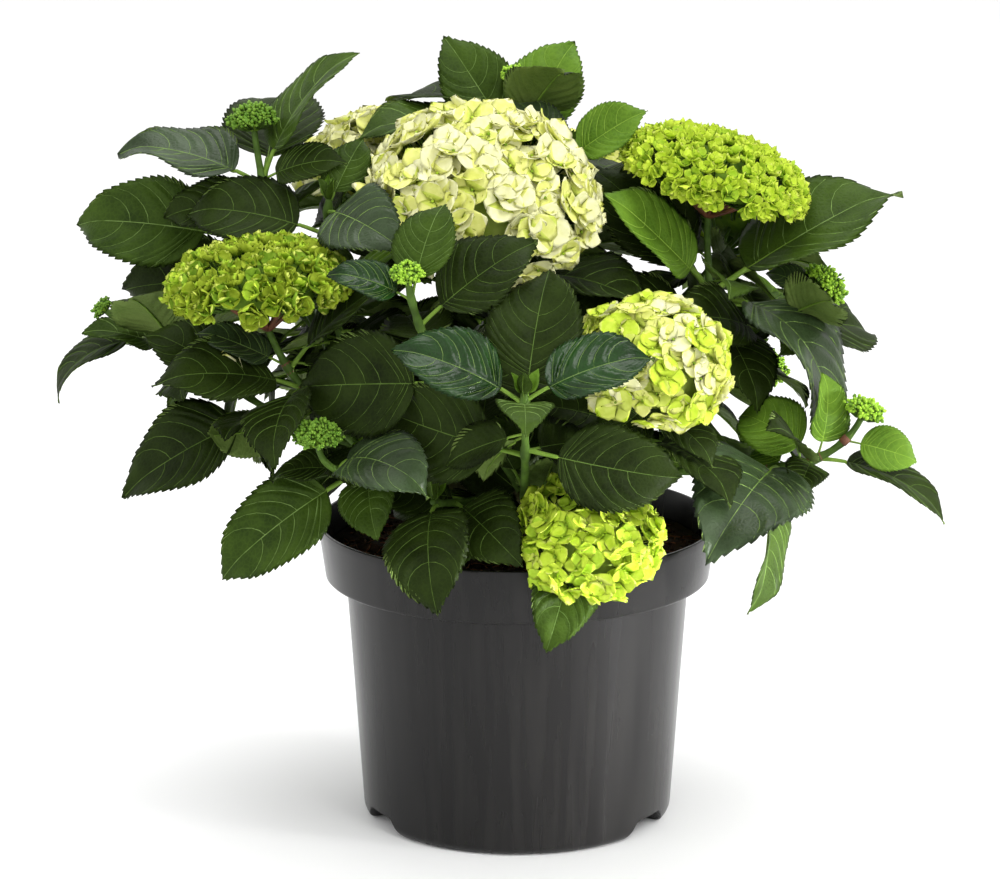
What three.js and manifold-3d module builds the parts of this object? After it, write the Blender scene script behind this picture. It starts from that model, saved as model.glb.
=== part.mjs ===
// A mophead hydrangea in its black nursery pot, in millimetres, +Z up.
// The origin is the middle of the pot's flat underside, and the plant's front is towards -Y.
// Limbs rise from a short woody crown in the soil, leafy shoots grow on from the limbs, and each
// shoot carries leaves in pairs and ends in a flower head, a bud or a tuft of young leaves.
import * as THREE from 'three';
import Module from 'manifold-3d';
import { mergeVertices } from 'three/addons/utils/BufferGeometryUtils.js';

const wasm = await Module();
wasm.setup();

// ---------------------------------------------------------------- driving dimensions

const GAP = 0.3; // between pieces that touch on the real plant

const POT = {
  height: 196,
  rimRadius: 130,
  bandHeight: 36, // the thick band below the rim
  bandFootRadius: 125,
  wallTopRadius: 111.5, // where the wall runs in under the band
  footRadius: 101,
  footWidth: 14, // the ring that the pot stands on
  padRadius: 28, // the flat pad in the middle of the underside
  footHeight: 12, // from the ground to the underside of the floor
  wall: 2.2,
  corner: 7,
  edge: 1, // taken off the rim's and the band's corners
  batter: 2, // how far the inner faces of the foot ring and pad slope
  notches: [58, 178, 298], // headings from the front at which the foot ring is notched
  notchWidth: 48, // at the ground
  notchTaper: 0.55, // the notch's width at its top over that at its foot
  sides: 44,
};

const SOIL = { level: 178, dome: 5, flatRadius: 34 };
const CROWN = { radius: 27, topRadius: 19, height: 20, shoulder: 0.4, shoulderRadius: 24, sides: 14 };

// A limb's foot stands this share of the way out to its tip, but no further than its spread, and
// this share of the crown's height up. A stem's start leans along its limb by this much.
const LIMB = { footRadius: 5, tipRadius: 3.6, sides: 6, steps: 5, spread: 15, outShare: 0.3, upShare: 0.6 };
const STEM = { footRadius: 2.9, tipRadius: 2, sides: 3, steps: 6, handle: 0.35, along: 0.5 };

const LEAF = {
  stalkRadius: 1.5,
  breadth: [0.5, 0.62], // width over length, stalk included
  droop: [30, 60], // degrees that the midrib bends down from foot to tip
  roll: 12, // degrees it may lean to either side
  lean: 50, // degrees it leans to the outside of the plant
  leanFrom: 90, // how far out from the middle the lean is full
  fold: 0.14, // how far each half of the blade rises from the midrib
  thick: 0.013, // of its length
  stations: [0, 0.2, 0.36, 0.58, 0.81, 1], // shares of its length, of which the first span is stalk
  widths: [0, 0, 0.86, 1, 0.6, 0], // the blade's width at each station, over its full width
};

const HEAD = {
  mophead: { up: 0.72, down: 0.25, lumps: 0.05, detail: 2 },
  flat: { up: 0.44, down: 0.2, lumps: 0.05, detail: 2 },
  bud: { up: 0.7, down: 0.5, lumps: 0.05, detail: 1 },
  tuft: { up: 1.2, down: 0.6, lumps: 0, detail: 0 },
};

// Limbs: name: [where it ends, how far it bows upwards as a share of its length].
const LIMBS = {
  limb_front: [[4, -104, 236], 0.22],
  limb_front_right: [[70, -70, 250], 0.2],
  limb_right: [[116, -12, 298], 0.14],
  limb_back_right: [[72, 70, 290], 0.18],
  limb_back: [[4, 84, 320], 0.14],
  limb_back_left: [[-78, 70, 300], 0.18],
  limb_left: [[-112, -8, 296], 0.16],
  limb_front_left: [[-84, -70, 248], 0.2],
  limb_middle: [[2, 4, 316], 0.05],
};

// Shoots: the limb each grows from and how far along it, where the shoot ends, the heading and
// rise in degrees that its tip points (heading 0 is +X, 90 is +Y), its head and the head's radius,
// the seed and the count of leaf pairs that its rule adds, and the leaves that stand where they do:
// [share along the shoot, heading, rise at the leaf's foot, length, droop, roll].
const SHOOTS = {
  shoot_top: {
    limb: 'limb_middle', at: 1, tip: [-22, -32, 410], facing: [-75, 60], head: 'mophead', radius: 72,
    seed: 11, pairs: 1, leaves: [[0.5, 165, 40, 120], [0.4, -25, 20, 110], [0.55, 75, 60, 100]],
  },
  shoot_back_top: {
    limb: 'limb_back', at: 1, tip: [-2, 84, 474], facing: [80, 84], head: 'bud', radius: 10,
    seed: 12, pairs: 1,
    leaves: [[0.7, 180, 58, 90, 24, -115], [0.7, 8, 64, 82, 24, 110], [0.8, 176, 30, 116, 60, -42],
      [0.72, 184, 24, 128, 40, -62]],
  },
  shoot_back_right_top: {
    limb: 'limb_middle', at: 0.75, tip: [32, 22, 436], facing: [20, 80], head: 'tuft', radius: 7,
    seed: 13, pairs: 1, leaves: [[0.94, -24, 40, 64, 24, 80], [0.92, 140, 56, 66, 24, -50]],
  },
  shoot_right_top: {
    limb: 'limb_right', at: 1, tip: [126, 18, 416], facing: [-18, 73], head: 'flat', radius: 60,
    seed: 14, pairs: 0,
    leaves: [[0.42, 170, 52, 112, 20, -56], [0.42, -136, 64, 100, 16, -30], [0.4, 10, 35, 144, 16, 10],
      [0.36, -30, 16, 140, 116, 20], [0.2, -140, 30, 110, 60], [0.3, -60, -16, 84, 50, 40]],
  },
  shoot_right: {
    limb: 'limb_right', at: 0.8, tip: [198, 12, 348], facing: [15, 40], head: 'bud', radius: 17,
    seed: 15, pairs: 2, leaves: [[0.95, -170, 40, 38, 40, -50], [0.8, -60, 10, 64, 60], [0.6, 95, 30, 100]],
  },
  shoot_right_low: {
    limb: 'limb_front_right', at: 0.45, tip: [217, -70, 284], facing: [10, 68], head: 'bud', radius: 14,
    seed: 16, pairs: 0,
    leaves: [[0.88, -20, -6, 50, 40, 60], [0.76, -6, 10, 94, 50, 0], [0.76, 120, 78, 56, 40, -30],
      [0.76, 168, 38, 68, 60, -50], [0.62, -100, 18, 136, 66, 25], [0.6, -80, -70, 94, 20, -20],
      [0.74, -100, 6, 46, 40, 30], [0.66, 140, 20, 40, 40, -60]],
  },
  shoot_front_right: {
    limb: 'limb_front_right', at: 1, tip: [82, -130, 326], facing: [-75, 54], head: 'mophead', radius: 47,
    seed: 17, pairs: 0,
    leaves: [[0.6, -105, 10, 60, 70], [0.55, -50, 10, 66, 60], [0.3, -50, 10, 96], [0.36, 195, 30, 84],
      [0.7, 60, 50, 90]],
  },
  shoot_front: {
    limb: 'limb_front', at: 1, tip: [4, -184, 322], facing: [-100, 80], head: 'tuft', radius: 8,
    seed: 18, pairs: 0,
    leaves: [[0.93, -165, 40, 90, 50], [0.95, -12, 36, 86, 50], [0.88, 82, 78, 98, 30],
      [0.9, -90, 34, 60, 70], [0.56, 164, 10, 112, 30, -36], [0.62, -8, -2, 102, 40, 30]],
  },
  shoot_front_low: {
    limb: 'limb_front', at: 0.65, tip: [44, -140, 220], facing: [-80, 50], head: 'mophead', radius: 44,
    seed: 19, pairs: 0,
    leaves: [[0.72, -90, -20, 80, 60], [0.76, -70, -16, 60, 60], [0.5, 160, 40, 84], [0.55, 6, -8, 70]],
  },
  shoot_front_mid: {
    limb: 'limb_front', at: 0.82, tip: [-66, -148, 386], facing: [-100, 70], head: 'bud', radius: 11,
    seed: 20, pairs: 0,
    leaves: [[0.9, 45, 78, 68], [0.9, -160, 36, 56], [0.8, 0, 46, 90, 30], [0.56, 180, 0, 104, 40, -30],
      [0.5, 0, 30, 96]],
  },
  shoot_left_high: {
    limb: 'limb_left', at: 0.9, tip: [-118, -36, 414], facing: [-60, 74], head: 'tuft', radius: 7,
    seed: 21, pairs: 1,
    leaves: [[0.92, -68, 14, 90, 60], [0.94, 20, 60, 56, 30, 60], [0.8, 175, 24, 96, 40, -30]],
  },
  shoot_left_top: {
    limb: 'limb_left', at: 1, tip: [-168, 4, 456], facing: [120, 78], head: 'bud', radius: 17,
    seed: 22, pairs: 0,
    leaves: [[0.78, 2, 74, 106, 44, 18], [0.76, 86, 42, 122, 40, 50], [0.76, 172, 31, 104, 40, -14],
      [0.78, -40, 30, 64, 40, 20], [0.7, -150, 20, 70, 40, -60]],
  },
  shoot_left: {
    limb: 'limb_left', at: 0.75, tip: [-196, 24, 406], facing: [160, 60], head: 'bud', radius: 11,
    seed: 23, pairs: 1, leaves: [[0.8, -175, 14, 118, 40, -72], [0.6, 178, 2, 112, 40, -60]],
  },
  shoot_left_low: {
    limb: 'limb_left', at: 0.5, tip: [-268, 16, 332], facing: [175, 40], head: 'bud', radius: 8,
    seed: 24, pairs: 1,
    leaves: [[0.8, 150, 40, 60, 30, -40], [0.82, -172, 12, 88, 90, -24], [0.76, -165, 30, 62, 30, -50],
      [0.6, -120, 20, 90]],
  },
  shoot_front_left: {
    limb: 'limb_front_left', at: 1, tip: [-160, -78, 364], facing: [-110, 82], head: 'flat', radius: 54,
    seed: 25, pairs: 0,
    leaves: [[0.5, -150, 26, 100, 46, -30], [0.6, -36, 40, 104, 36], [0.5, -112, 4, 84, 60, -10],
      [0.62, 175, 30, 62, 20, -8]],
  },
  shoot_front_left_low: {
    limb: 'limb_front_left', at: 0.66, tip: [-122, -132, 282], facing: [-100, 84], head: 'bud', radius: 16,
    seed: 26, pairs: 0,
    leaves: [[0.66, -74, 42, 90, 110], [0.5, -158, -24, 112, 36, -22], [0.6, 165, 0, 50],
      [0.4, -95, 0, 66, 60]],
  },
  shoot_far_left: {
    limb: 'limb_front_left', at: 0.5, tip: [-182, -76, 312], facing: [-110, 50], head: 'mophead', radius: 15,
    seed: 27, pairs: 0,
    leaves: [[0.7, -168, -18, 112, 30, -30], [0.6, -172, -14, 64, 40, 130], [0.82, 178, 34, 84, 60, -50]],
  },
  shoot_foot: {
    limb: 'limb_front', at: 0.4, tip: [-52, -120, 238], facing: [-100, 20], head: 'tuft', radius: 6,
    seed: 28, pairs: 0, leaves: [[0.9, -102, 6, 98, 90], [0.5, -165, 20, 72], [0.66, -56, 10, 90, 60]],
  },
  shoot_back_mid: {
    limb: 'limb_back', at: 0.8, tip: [44, 160, 384], facing: [80, 56], head: 'mophead', radius: 50,
    seed: 31, pairs: 3, leaves: [],
  },
  shoot_back_low: {
    limb: 'limb_back', at: 0.55, tip: [-30, 190, 290], facing: [95, 30], head: 'bud', radius: 16,
    seed: 32, pairs: 4, leaves: [],
  },
  shoot_back_right: {
    limb: 'limb_back_right', at: 1, tip: [148, 134, 366], facing: [44, 54], head: 'mophead', radius: 50,
    seed: 33, pairs: 4, leaves: [],
  },
  shoot_back_right_low: {
    limb: 'limb_back_right', at: 0.65, tip: [170, 124, 270], facing: [40, 26], head: 'bud', radius: 16,
    seed: 34, pairs: 4, leaves: [],
  },
  shoot_back_left_top: {
    limb: 'limb_back_left', at: 1, tip: [-96, 116, 408], facing: [130, 66], head: 'mophead', radius: 48,
    seed: 35, pairs: 3, leaves: [],
  },
  shoot_back_left: {
    limb: 'limb_back_left', at: 0.75, tip: [-184, 108, 340], facing: [145, 44], head: 'bud', radius: 16,
    seed: 36, pairs: 4, leaves: [],
  },
  shoot_back_left_low: {
    limb: 'limb_back_left', at: 0.5, tip: [-120, 156, 258], facing: [125, 22], head: 'tuft', radius: 8,
    seed: 37, pairs: 4, leaves: [],
  },
};

// What the rule gives the further pairs, from the tip down.
const PAIRS = {
  from: 0.74, // share along the shoot at which the first pair stands
  step: 0.17,
  turn: 90, // each pair stands across the one above
  lengths: [84, 108, 116, 104],
  rises: [36, 26, 10, -14],
  spread: 12, // degrees either way, and the same in percent of the length
};

// Where a leaf has no room it is swung and tipped by these degrees, then made shorter, then left out.
const SWINGS = [0, 8, -8, 16, -16, 24, -24, 32, -32];
const SCALES = [1, 0.86, 0.72];

const COLOURS = {
  pot: { color: '#2b2a29', roughness: 0.35 },
  soil: { color: '#2c1c12', roughness: 0.95 },
  crown: { color: '#5a4630', roughness: 0.85 },
  limb: { color: '#6f7a3c', roughness: 0.6 },
  mass: { color: '#2f4a22', roughness: 0.55 },
};

// ---------------------------------------------------------------- helpers

const vec = (x, y, z) => new THREE.Vector3(x, y, z);
const lerp = THREE.MathUtils.lerp;
const rad = THREE.MathUtils.degToRad;
const UP = vec(0, 0, 1);

// Numbers from 0 to 1 that a seed fixes.
function randomFrom(seed) {
  let state = seed;
  return () => {
    state = (state + 0x6d2b79f5) | 0;
    let t = Math.imul(state ^ (state >>> 15), 1 | state);
    t = (t + Math.imul(t ^ (t >>> 7), 61 | t)) ^ t;
    return ((t ^ (t >>> 14)) >>> 0) / 4294967296;
  };
}

function direction(heading, rise) {
  const [h, r] = [rad(heading), rad(rise)];
  return vec(Math.cos(h) * Math.cos(r), Math.sin(h) * Math.cos(r), Math.sin(r));
}

// A closed three.js geometry as a solid that can be joined and cut.
function solidOf(geometry) {
  const bare = new THREE.BufferGeometry().setAttribute('position', geometry.getAttribute('position'));
  bare.setIndex(geometry.index);
  const merged = mergeVertices(bare, 1e-3);
  const corners = merged.index.array;
  const triVerts = [];
  for (let i = 0; i < corners.length; i += 3) {
    const [a, b, c] = corners.slice(i, i + 3);
    if (a !== b && b !== c && c !== a) triVerts.push(a, b, c);
  }
  const mesh = new wasm.Mesh({
    numProp: 3,
    vertProperties: merged.getAttribute('position').array,
    triVerts: new Uint32Array(triVerts),
  });
  return new wasm.Manifold(mesh);
}

// The solid's largest piece, as a three.js geometry.
function geometryOf(solid) {
  const whole = solid.decompose().sort((a, b) => b.volume() - a.volume())[0];
  const mesh = whole.getMesh();
  const positions = new Float32Array(mesh.numVert * 3);
  for (let i = 0; i < mesh.numVert; i++) {
    positions.set(mesh.vertProperties.subarray(i * mesh.numProp, i * mesh.numProp + 3), i * 3);
  }
  const geometry = new THREE.BufferGeometry();
  geometry.setAttribute('position', new THREE.BufferAttribute(positions, 3));
  geometry.setIndex(new THREE.BufferAttribute(mesh.triVerts, 1));
  geometry.computeVertexNormals();
  return geometry;
}

function meshOf(name, solid, colour) {
  const material = new THREE.MeshStandardMaterial({ metalness: 0, ...COLOURS[colour] });
  const mesh = new THREE.Mesh(geometryOf(solid), material);
  mesh.name = name;
  return mesh;
}

// A round limb along a curve, tapering from one radius to the other.
function taperedLimb(curve, { footRadius, tipRadius, sides, steps }, room = 0) {
  const limb = new THREE.CylinderGeometry(1, 1, 1, sides, steps);
  const place = limb.getAttribute('position');
  const across = curve.getTangent(0).cross(curve.getTangent(1));
  if (across.length() < 0.05) across.copy(curve.getTangent(0)).cross(vec(0.3, 0.8, 0.1));
  across.normalize();
  for (let i = 0; i < place.count; i++) {
    const share = place.getY(i) + 0.5;
    const side = across.clone().multiplyScalar(place.getX(i));
    side.addScaledVector(across.clone().cross(curve.getTangent(share)).normalize(), place.getZ(i));
    const point = curve.getPoint(share);
    point.addScaledVector(curve.getTangent(share), share === 0 ? -room : share === 1 ? room : 0);
    point.addScaledVector(side, lerp(footRadius, tipRadius, share) + room);
    place.setXYZ(i, point.x, point.y, point.z);
  }
  return solidOf(limb);
}

// A profile of radii and heights, turned round the upright axis.
function turnedSolid(profile, sides) {
  const turned = new THREE.LatheGeometry(profile.map(([r, z]) => new THREE.Vector2(r, z)), sides);
  return solidOf(turned.rotateX(Math.PI / 2));
}

// ---------------------------------------------------------------- pot, soil and crown

function potSolid() {
  const p = POT;
  const bandFoot = p.height - p.bandHeight;
  const ring = p.footRadius - p.footWidth;
  const floor = p.footHeight + p.wall;
  const outside = [
    [0, 0], [p.padRadius, 0], [p.padRadius + p.batter, p.footHeight],
    [ring - p.batter, p.footHeight], [ring, 0],
    [p.footRadius - p.corner, 0], [p.footRadius - p.corner * 0.3, p.corner * 0.3],
    [p.footRadius, p.corner], [p.wallTopRadius, bandFoot], [p.bandFootRadius - p.edge, bandFoot],
    [p.bandFootRadius, bandFoot + p.edge], [p.rimRadius - p.edge * 0.6, p.height - p.edge],
    [p.rimRadius - p.edge, p.height],
  ];
  const inside = [
    [p.rimRadius - p.wall, p.height], [p.bandFootRadius - p.wall, bandFoot + p.wall],
    [p.wallTopRadius - p.wall, bandFoot + p.wall], [p.footRadius - p.wall - p.edge, floor], [0, floor],
  ];
  let pot = turnedSolid([...outside, ...inside], p.sides);
  for (const heading of p.notches) pot = pot.subtract(notchSolid(heading));
  return pot;
}

// A slot with slanting sides, cut through the foot ring under the floor.
function notchSolid(heading) {
  const { notchWidth, notchTaper, footRadius, footWidth, footHeight, edge } = POT;
  const clear = footWidth * 0.4; // how far it runs out past the ring on either side
  const foot = notchWidth / 2;
  const head = foot * notchTaper;
  const top = footHeight - edge * 0.5;
  const corners = [[-foot, -edge], [foot, -edge], [head, top], [-head, top]];
  const outline = new THREE.Shape(corners.map(([x, y]) => new THREE.Vector2(x, y)));
  const slot = new THREE.ExtrudeGeometry(outline, { depth: footWidth + 2 * clear, bevelEnabled: false });
  slot.rotateX(Math.PI / 2);
  slot.translate(0, -(footRadius - footWidth - clear), 0);
  slot.rotateZ(rad(heading));
  return solidOf(slot);
}

function soilSolid() {
  const bandFoot = POT.height - POT.bandHeight;
  const inset = POT.wall + GAP;
  return turnedSolid([
    [0, POT.footHeight + inset], [POT.footRadius - inset - 1.4 * POT.edge, POT.footHeight + inset],
    [POT.wallTopRadius - inset, bandFoot + inset], [POT.bandFootRadius - inset - GAP, bandFoot + inset],
    [POT.bandFootRadius - inset + POT.edge, SOIL.level], [SOIL.flatRadius, SOIL.level + SOIL.dome],
    [0, SOIL.level + SOIL.dome],
  ], POT.sides);
}

// The short woody stool that all the limbs rise from.
function crownSolid(room = 0) {
  const foot = SOIL.level + SOIL.dome + GAP;
  const [bottom, top] = [foot - room, foot + CROWN.height + room];
  return turnedSolid([
    [0, bottom], [CROWN.radius + room, bottom],
    [CROWN.shoulderRadius + room, foot + CROWN.height * CROWN.shoulder],
    [CROWN.topRadius + room, top], [0, top],
  ], CROWN.sides);
}

// ---------------------------------------------------------------- limbs and shoots

function limbCurve([end, bow]) {
  const tip = vec(...end);
  const outward = Math.min(LIMB.spread, Math.hypot(tip.x, tip.y) * LIMB.outShare);
  const foot = tip.clone().setZ(0).setLength(outward);
  foot.z = SOIL.level + SOIL.dome + CROWN.height * LIMB.upShare;
  const middle = foot.clone().lerp(tip, 0.5);
  middle.z += bow * foot.distanceTo(tip);
  return new THREE.QuadraticBezierCurve3(foot, middle, tip);
}

// A stem leaves its limb partly along it and ends the way that its head faces.
function stemCurve(shoot, limb) {
  const foot = limb.getPoint(shoot.at);
  const tip = vec(...shoot.tip);
  const reach = foot.distanceTo(tip) * STEM.handle;
  const straight = tip.clone().sub(foot).normalize();
  const start = limb.getTangent(shoot.at).multiplyScalar(STEM.along).add(straight).normalize();
  const near = foot.clone().addScaledVector(start, reach);
  const far = tip.clone().addScaledVector(direction(...shoot.facing), -reach);
  return new THREE.CubicBezierCurve3(foot, near, far, tip);
}

// A head, bud or tuft: a domed ball that sits on the stem's tip, slightly lumpy.
function headSolid(shoot, room = 0) {
  const { up, down, lumps, detail } = HEAD[shoot.head];
  const ball = new THREE.IcosahedronGeometry(1, detail);
  const place = ball.getAttribute('position');
  for (let i = 0; i < place.count; i++) {
    const [x, y, z] = [place.getX(i), place.getY(i), place.getZ(i)];
    const size = shoot.radius * (1 + lumps * Math.sin(7 * x + shoot.seed) * Math.cos(8 * y - 5 * z)) + room;
    place.setXYZ(i, x * size, y * size, z * size * (z > 0 ? up : down));
  }
  ball.applyQuaternion(new THREE.Quaternion().setFromUnitVectors(UP, direction(...shoot.facing)));
  return solidOf(ball.translate(...shoot.tip));
}

// ---------------------------------------------------------------- leaves

// The leaves of a shoot: those in its table, then the pairs that the rule adds below its tip.
function leavesOf(shoot, stem) {
  const random = randomFrom(shoot.seed);
  const either = (size) => (2 * random() - 1) * size;
  const finish = (share, heading, rise, length, droop, roll) => {
    const breadth = lerp(...LEAF.breadth, random());
    const ownDroop = lerp(...LEAF.droop, random());
    const ownRoll = either(LEAF.roll);
    const foot = stem.getPoint(share);
    return { foot, heading, rise, length, breadth, droop: droop ?? ownDroop, roll: roll ?? ownRoll };
  };
  const leaves = shoot.leaves.map((leaf) => finish(...leaf));
  const first = random() * 360;
  for (let pair = 0; pair < shoot.pairs; pair++) {
    const share = PAIRS.from - pair * PAIRS.step;
    for (const side of [0, 180]) {
      const heading = first + pair * PAIRS.turn + side + either(PAIRS.spread);
      const rise = PAIRS.rises[pair] + either(PAIRS.spread);
      leaves.push(finish(share, heading, rise, PAIRS.lengths[pair] * (1 + either(PAIRS.spread) / 100)));
    }
  }
  return leaves;
}

// The way a blade faces: up from its stalk, leaning over to the outside of the plant.
function faceOf(leaf, out) {
  const face = direction(leaf.heading, leaf.rise + 90);
  const outside = vec(leaf.foot.x, leaf.foot.y, 0).divideScalar(LEAF.leanFrom).clampLength(0, 1);
  const lean = LEAF.lean * face.clone().cross(out).dot(outside);
  return face.applyAxisAngle(out, rad(leaf.roll - lean));
}

// A leaf as one closed skin: a stalk, then a folded blade that droops along its midrib.
function leafSolid(leaf, { room = 0, bladeOnly = false } = {}) {
  const first = bladeOnly ? 1 : 0;
  const steps = LEAF.stations.length - 1 - first;
  const out = direction(leaf.heading, leaf.rise);
  const face = faceOf(leaf, out);
  const across = face.clone().cross(out);
  const bend = rad(leaf.droop);
  const skin = new THREE.CylinderGeometry(1, 1, 1, 4, steps);
  const place = skin.getAttribute('position');
  for (let i = 0; i < place.count; i++) {
    const station = first + Math.round((0.5 - place.getY(i)) * steps);
    const share = LEAF.stations[station];
    const taper = station === LEAF.stations.length - 1 ? 0 : 1;
    const half = Math.max(leaf.length * leaf.breadth * 0.5 * LEAF.widths[station], LEAF.stalkRadius) + room;
    const deep = (station < 2 ? LEAF.stalkRadius : leaf.length * LEAF.thick * 0.5) + room;
    const [v, n] = [place.getX(i) * taper, place.getZ(i) * taper];
    const turned = bend * share;
    const reach = leaf.length / bend;
    const rib = leaf.foot.clone();
    rib.addScaledVector(out, reach * Math.sin(turned));
    rib.addScaledVector(face, -reach * (1 - Math.cos(turned)));
    const normal = out.clone().multiplyScalar(Math.sin(turned)).addScaledVector(face, Math.cos(turned));
    rib.addScaledVector(across, v * half);
    rib.addScaledVector(normal, n * deep + Math.abs(v) * half * LEAF.fold);
    place.setXYZ(i, rib.x, rib.y, rib.z);
  }
  return solidOf(skin);
}

// ---------------------------------------------------------------- room between the pieces

// What stands so far: which node each solid belongs to, and the part of it that keeps its own
// node's blades off as well.
const standing = [];

function boxOf(solid) {
  const { min, max } = solid.boundingBox();
  return new THREE.Box3(vec(...min), vec(...max));
}

function stand(owner, whole, blade = null) {
  standing.push({ owner, whole, blade, box: boxOf(whole) });
}

function touches(one, other) {
  const shared = one.intersect(other);
  const hit = !shared.isEmpty();
  shared.delete();
  return hit;
}

function hasRoom(leaf, owner) {
  const whole = leafSolid(leaf, { room: GAP });
  const blade = leafSolid(leaf, { bladeOnly: true });
  const box = boxOf(whole);
  const clash = standing.some((other) => {
    if (!box.intersectsBox(other.box)) return false;
    if (other.owner !== owner) return touches(whole, other.whole);
    return other.blade !== null && touches(blade, other.blade);
  });
  whole.delete();
  blade.delete();
  return !clash;
}

// The leaf as it stands, swung, tipped or made smaller until it has room, or null.
function settled(leaf, owner) {
  for (const scale of SCALES) {
    for (const swing of SWINGS) {
      for (const tip of [0, swing]) {
        const tried = {
          ...leaf,
          heading: leaf.heading + swing,
          rise: leaf.rise + tip,
          length: leaf.length * scale,
        };
        if (hasRoom(tried, owner)) return tried;
      }
    }
  }
  return null;
}

// ---------------------------------------------------------------- assembly

const hydrangea = new THREE.Group();
const crown = crownSolid();
const pot = potSolid();
const soil = soilSolid();
stand('pot', pot);
stand('soil', soil);
stand('crown', crown);

// Limbs are cut a gap clear of the crown, and stems a gap clear of their limb.
const roomyCrown = crownSolid(GAP);
const limbs = {};
for (const [name, table] of Object.entries(LIMBS)) {
  const curve = limbCurve(table);
  const solid = taperedLimb(curve, LIMB).subtract(roomyCrown);
  limbs[name] = { curve, solid, roomy: taperedLimb(curve, LIMB, GAP) };
  stand(name, solid);
}

// All stems and heads stand before the first leaf, and the leaves in the table before the rule's.
const shoots = Object.entries(SHOOTS).map(([name, table]) => {
  const limb = limbs[table.limb];
  const curve = stemCurve(table, limb.curve);
  const stem = taperedLimb(curve, STEM).subtract(limb.roomy);
  const head = headSolid(table);
  stand(name, stem);
  stand(name, head, head);
  return { name, table, pieces: [stem, head], leaves: leavesOf(table, curve) };
});
for (const fromTable of [true, false]) {
  for (const shoot of shoots) {
    const count = shoot.table.leaves.length;
    for (const leaf of fromTable ? shoot.leaves.slice(0, count) : shoot.leaves.slice(count)) {
      const found = settled(leaf, shoot.name);
      if (!found) continue;
      const whole = leafSolid(found);
      stand(shoot.name, whole, leafSolid(found, { bladeOnly: true }));
      shoot.pieces.push(whole);
    }
  }
}

hydrangea.add(meshOf('pot', pot, 'pot'), meshOf('soil', soil, 'soil'), meshOf('crown', crown, 'crown'));
for (const [name, limb] of Object.entries(limbs)) hydrangea.add(meshOf(name, limb.solid, 'limb'));
for (const { name, pieces } of shoots) {
  hydrangea.add(meshOf(name, pieces.reduce((whole, piece) => whole.add(piece)), 'mass'));
}

export default hydrangea;
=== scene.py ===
"""The looks of a mophead hydrangea in its nursery pot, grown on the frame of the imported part.

Lengths are in millimetres until a mesh is made. The shoots follow the same rule and the same seeds
as the part's source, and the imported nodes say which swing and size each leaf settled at.
"""

import math
from collections import namedtuple
from types import SimpleNamespace as Sizes

import bmesh
import bpy
import numpy as np
from mathutils import Euler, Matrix
from mathutils.kdtree import KDTree


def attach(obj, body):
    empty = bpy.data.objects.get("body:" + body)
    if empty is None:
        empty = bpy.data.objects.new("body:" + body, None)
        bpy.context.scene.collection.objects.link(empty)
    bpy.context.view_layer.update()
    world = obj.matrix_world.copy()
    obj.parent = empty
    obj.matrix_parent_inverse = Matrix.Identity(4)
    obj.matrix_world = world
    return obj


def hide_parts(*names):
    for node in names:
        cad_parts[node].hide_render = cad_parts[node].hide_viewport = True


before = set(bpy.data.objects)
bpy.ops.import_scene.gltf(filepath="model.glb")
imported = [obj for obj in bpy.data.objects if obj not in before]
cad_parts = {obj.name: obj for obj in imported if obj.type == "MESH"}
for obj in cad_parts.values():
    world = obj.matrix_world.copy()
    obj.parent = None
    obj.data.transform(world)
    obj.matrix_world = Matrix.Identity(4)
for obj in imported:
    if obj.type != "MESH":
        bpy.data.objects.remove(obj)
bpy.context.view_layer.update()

MM = 0.001

# ---- the part's own dimensions

POT = Sizes(
    height=196, rim_radius=130, band_height=36, band_foot_radius=125, wall_top_radius=111.5,
    foot_radius=101, foot_width=14, pad_radius=28, foot_height=12, wall=2.2, corner=7, edge=1,
    notches=(58, 178, 298), notch_width=48, notch_taper=0.55,
)
SOIL = Sizes(level=178, dome=5, flat_radius=34)
CROWN = Sizes(radius=27, height=20)
GAP = 0.3
LIMB = Sizes(foot_radius=5, tip_radius=3.6, spread=15, out_share=0.3, up_share=0.6)
STEM = Sizes(foot_radius=2.9, tip_radius=2, handle=0.35, along=0.5)
LEAF = Sizes(breadth=(0.5, 0.62), droop=(30, 60), roll=12, lean=50, lean_from=90, fold=0.14, stalk=0.2)
CAD_STATIONS = (0.36, 0.58, 0.81)
CAD_WIDTHS = (0.86, 1, 0.6)
HEAD = {  # over the radius: a head's height and depth, and the lowest florets or buds on a round one
    "mophead": Sizes(up=0.72, down=0.25, lowest=-0.3),
    "flat": Sizes(up=0.44, down=0.2, lowest=-0.15),
    "bud": Sizes(up=0.7, down=0.5, lowest=-0.45),
    "tuft": Sizes(up=1.2, down=0.6),
}
PAIRS = Sizes(start=0.74, step=0.17, turn=90, lengths=(84, 108, 116, 104), rises=(36, 26, 10, -14), spread=12)
SWINGS = (0, 8, -8, 16, -16, 24, -24, 32, -32)
SCALES = (1, 0.86, 0.72)

LIMBS = {
    "front": ((4, -104, 236), 0.22),
    "front_right": ((70, -70, 250), 0.2),
    "right": ((116, -12, 298), 0.14),
    "back_right": ((72, 70, 290), 0.18),
    "back": ((4, 84, 320), 0.14),
    "back_left": ((-78, 70, 300), 0.18),
    "left": ((-112, -8, 296), 0.16),
    "front_left": ((-84, -70, 248), 0.2),
    "middle": ((2, 4, 316), 0.05),
}

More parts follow.
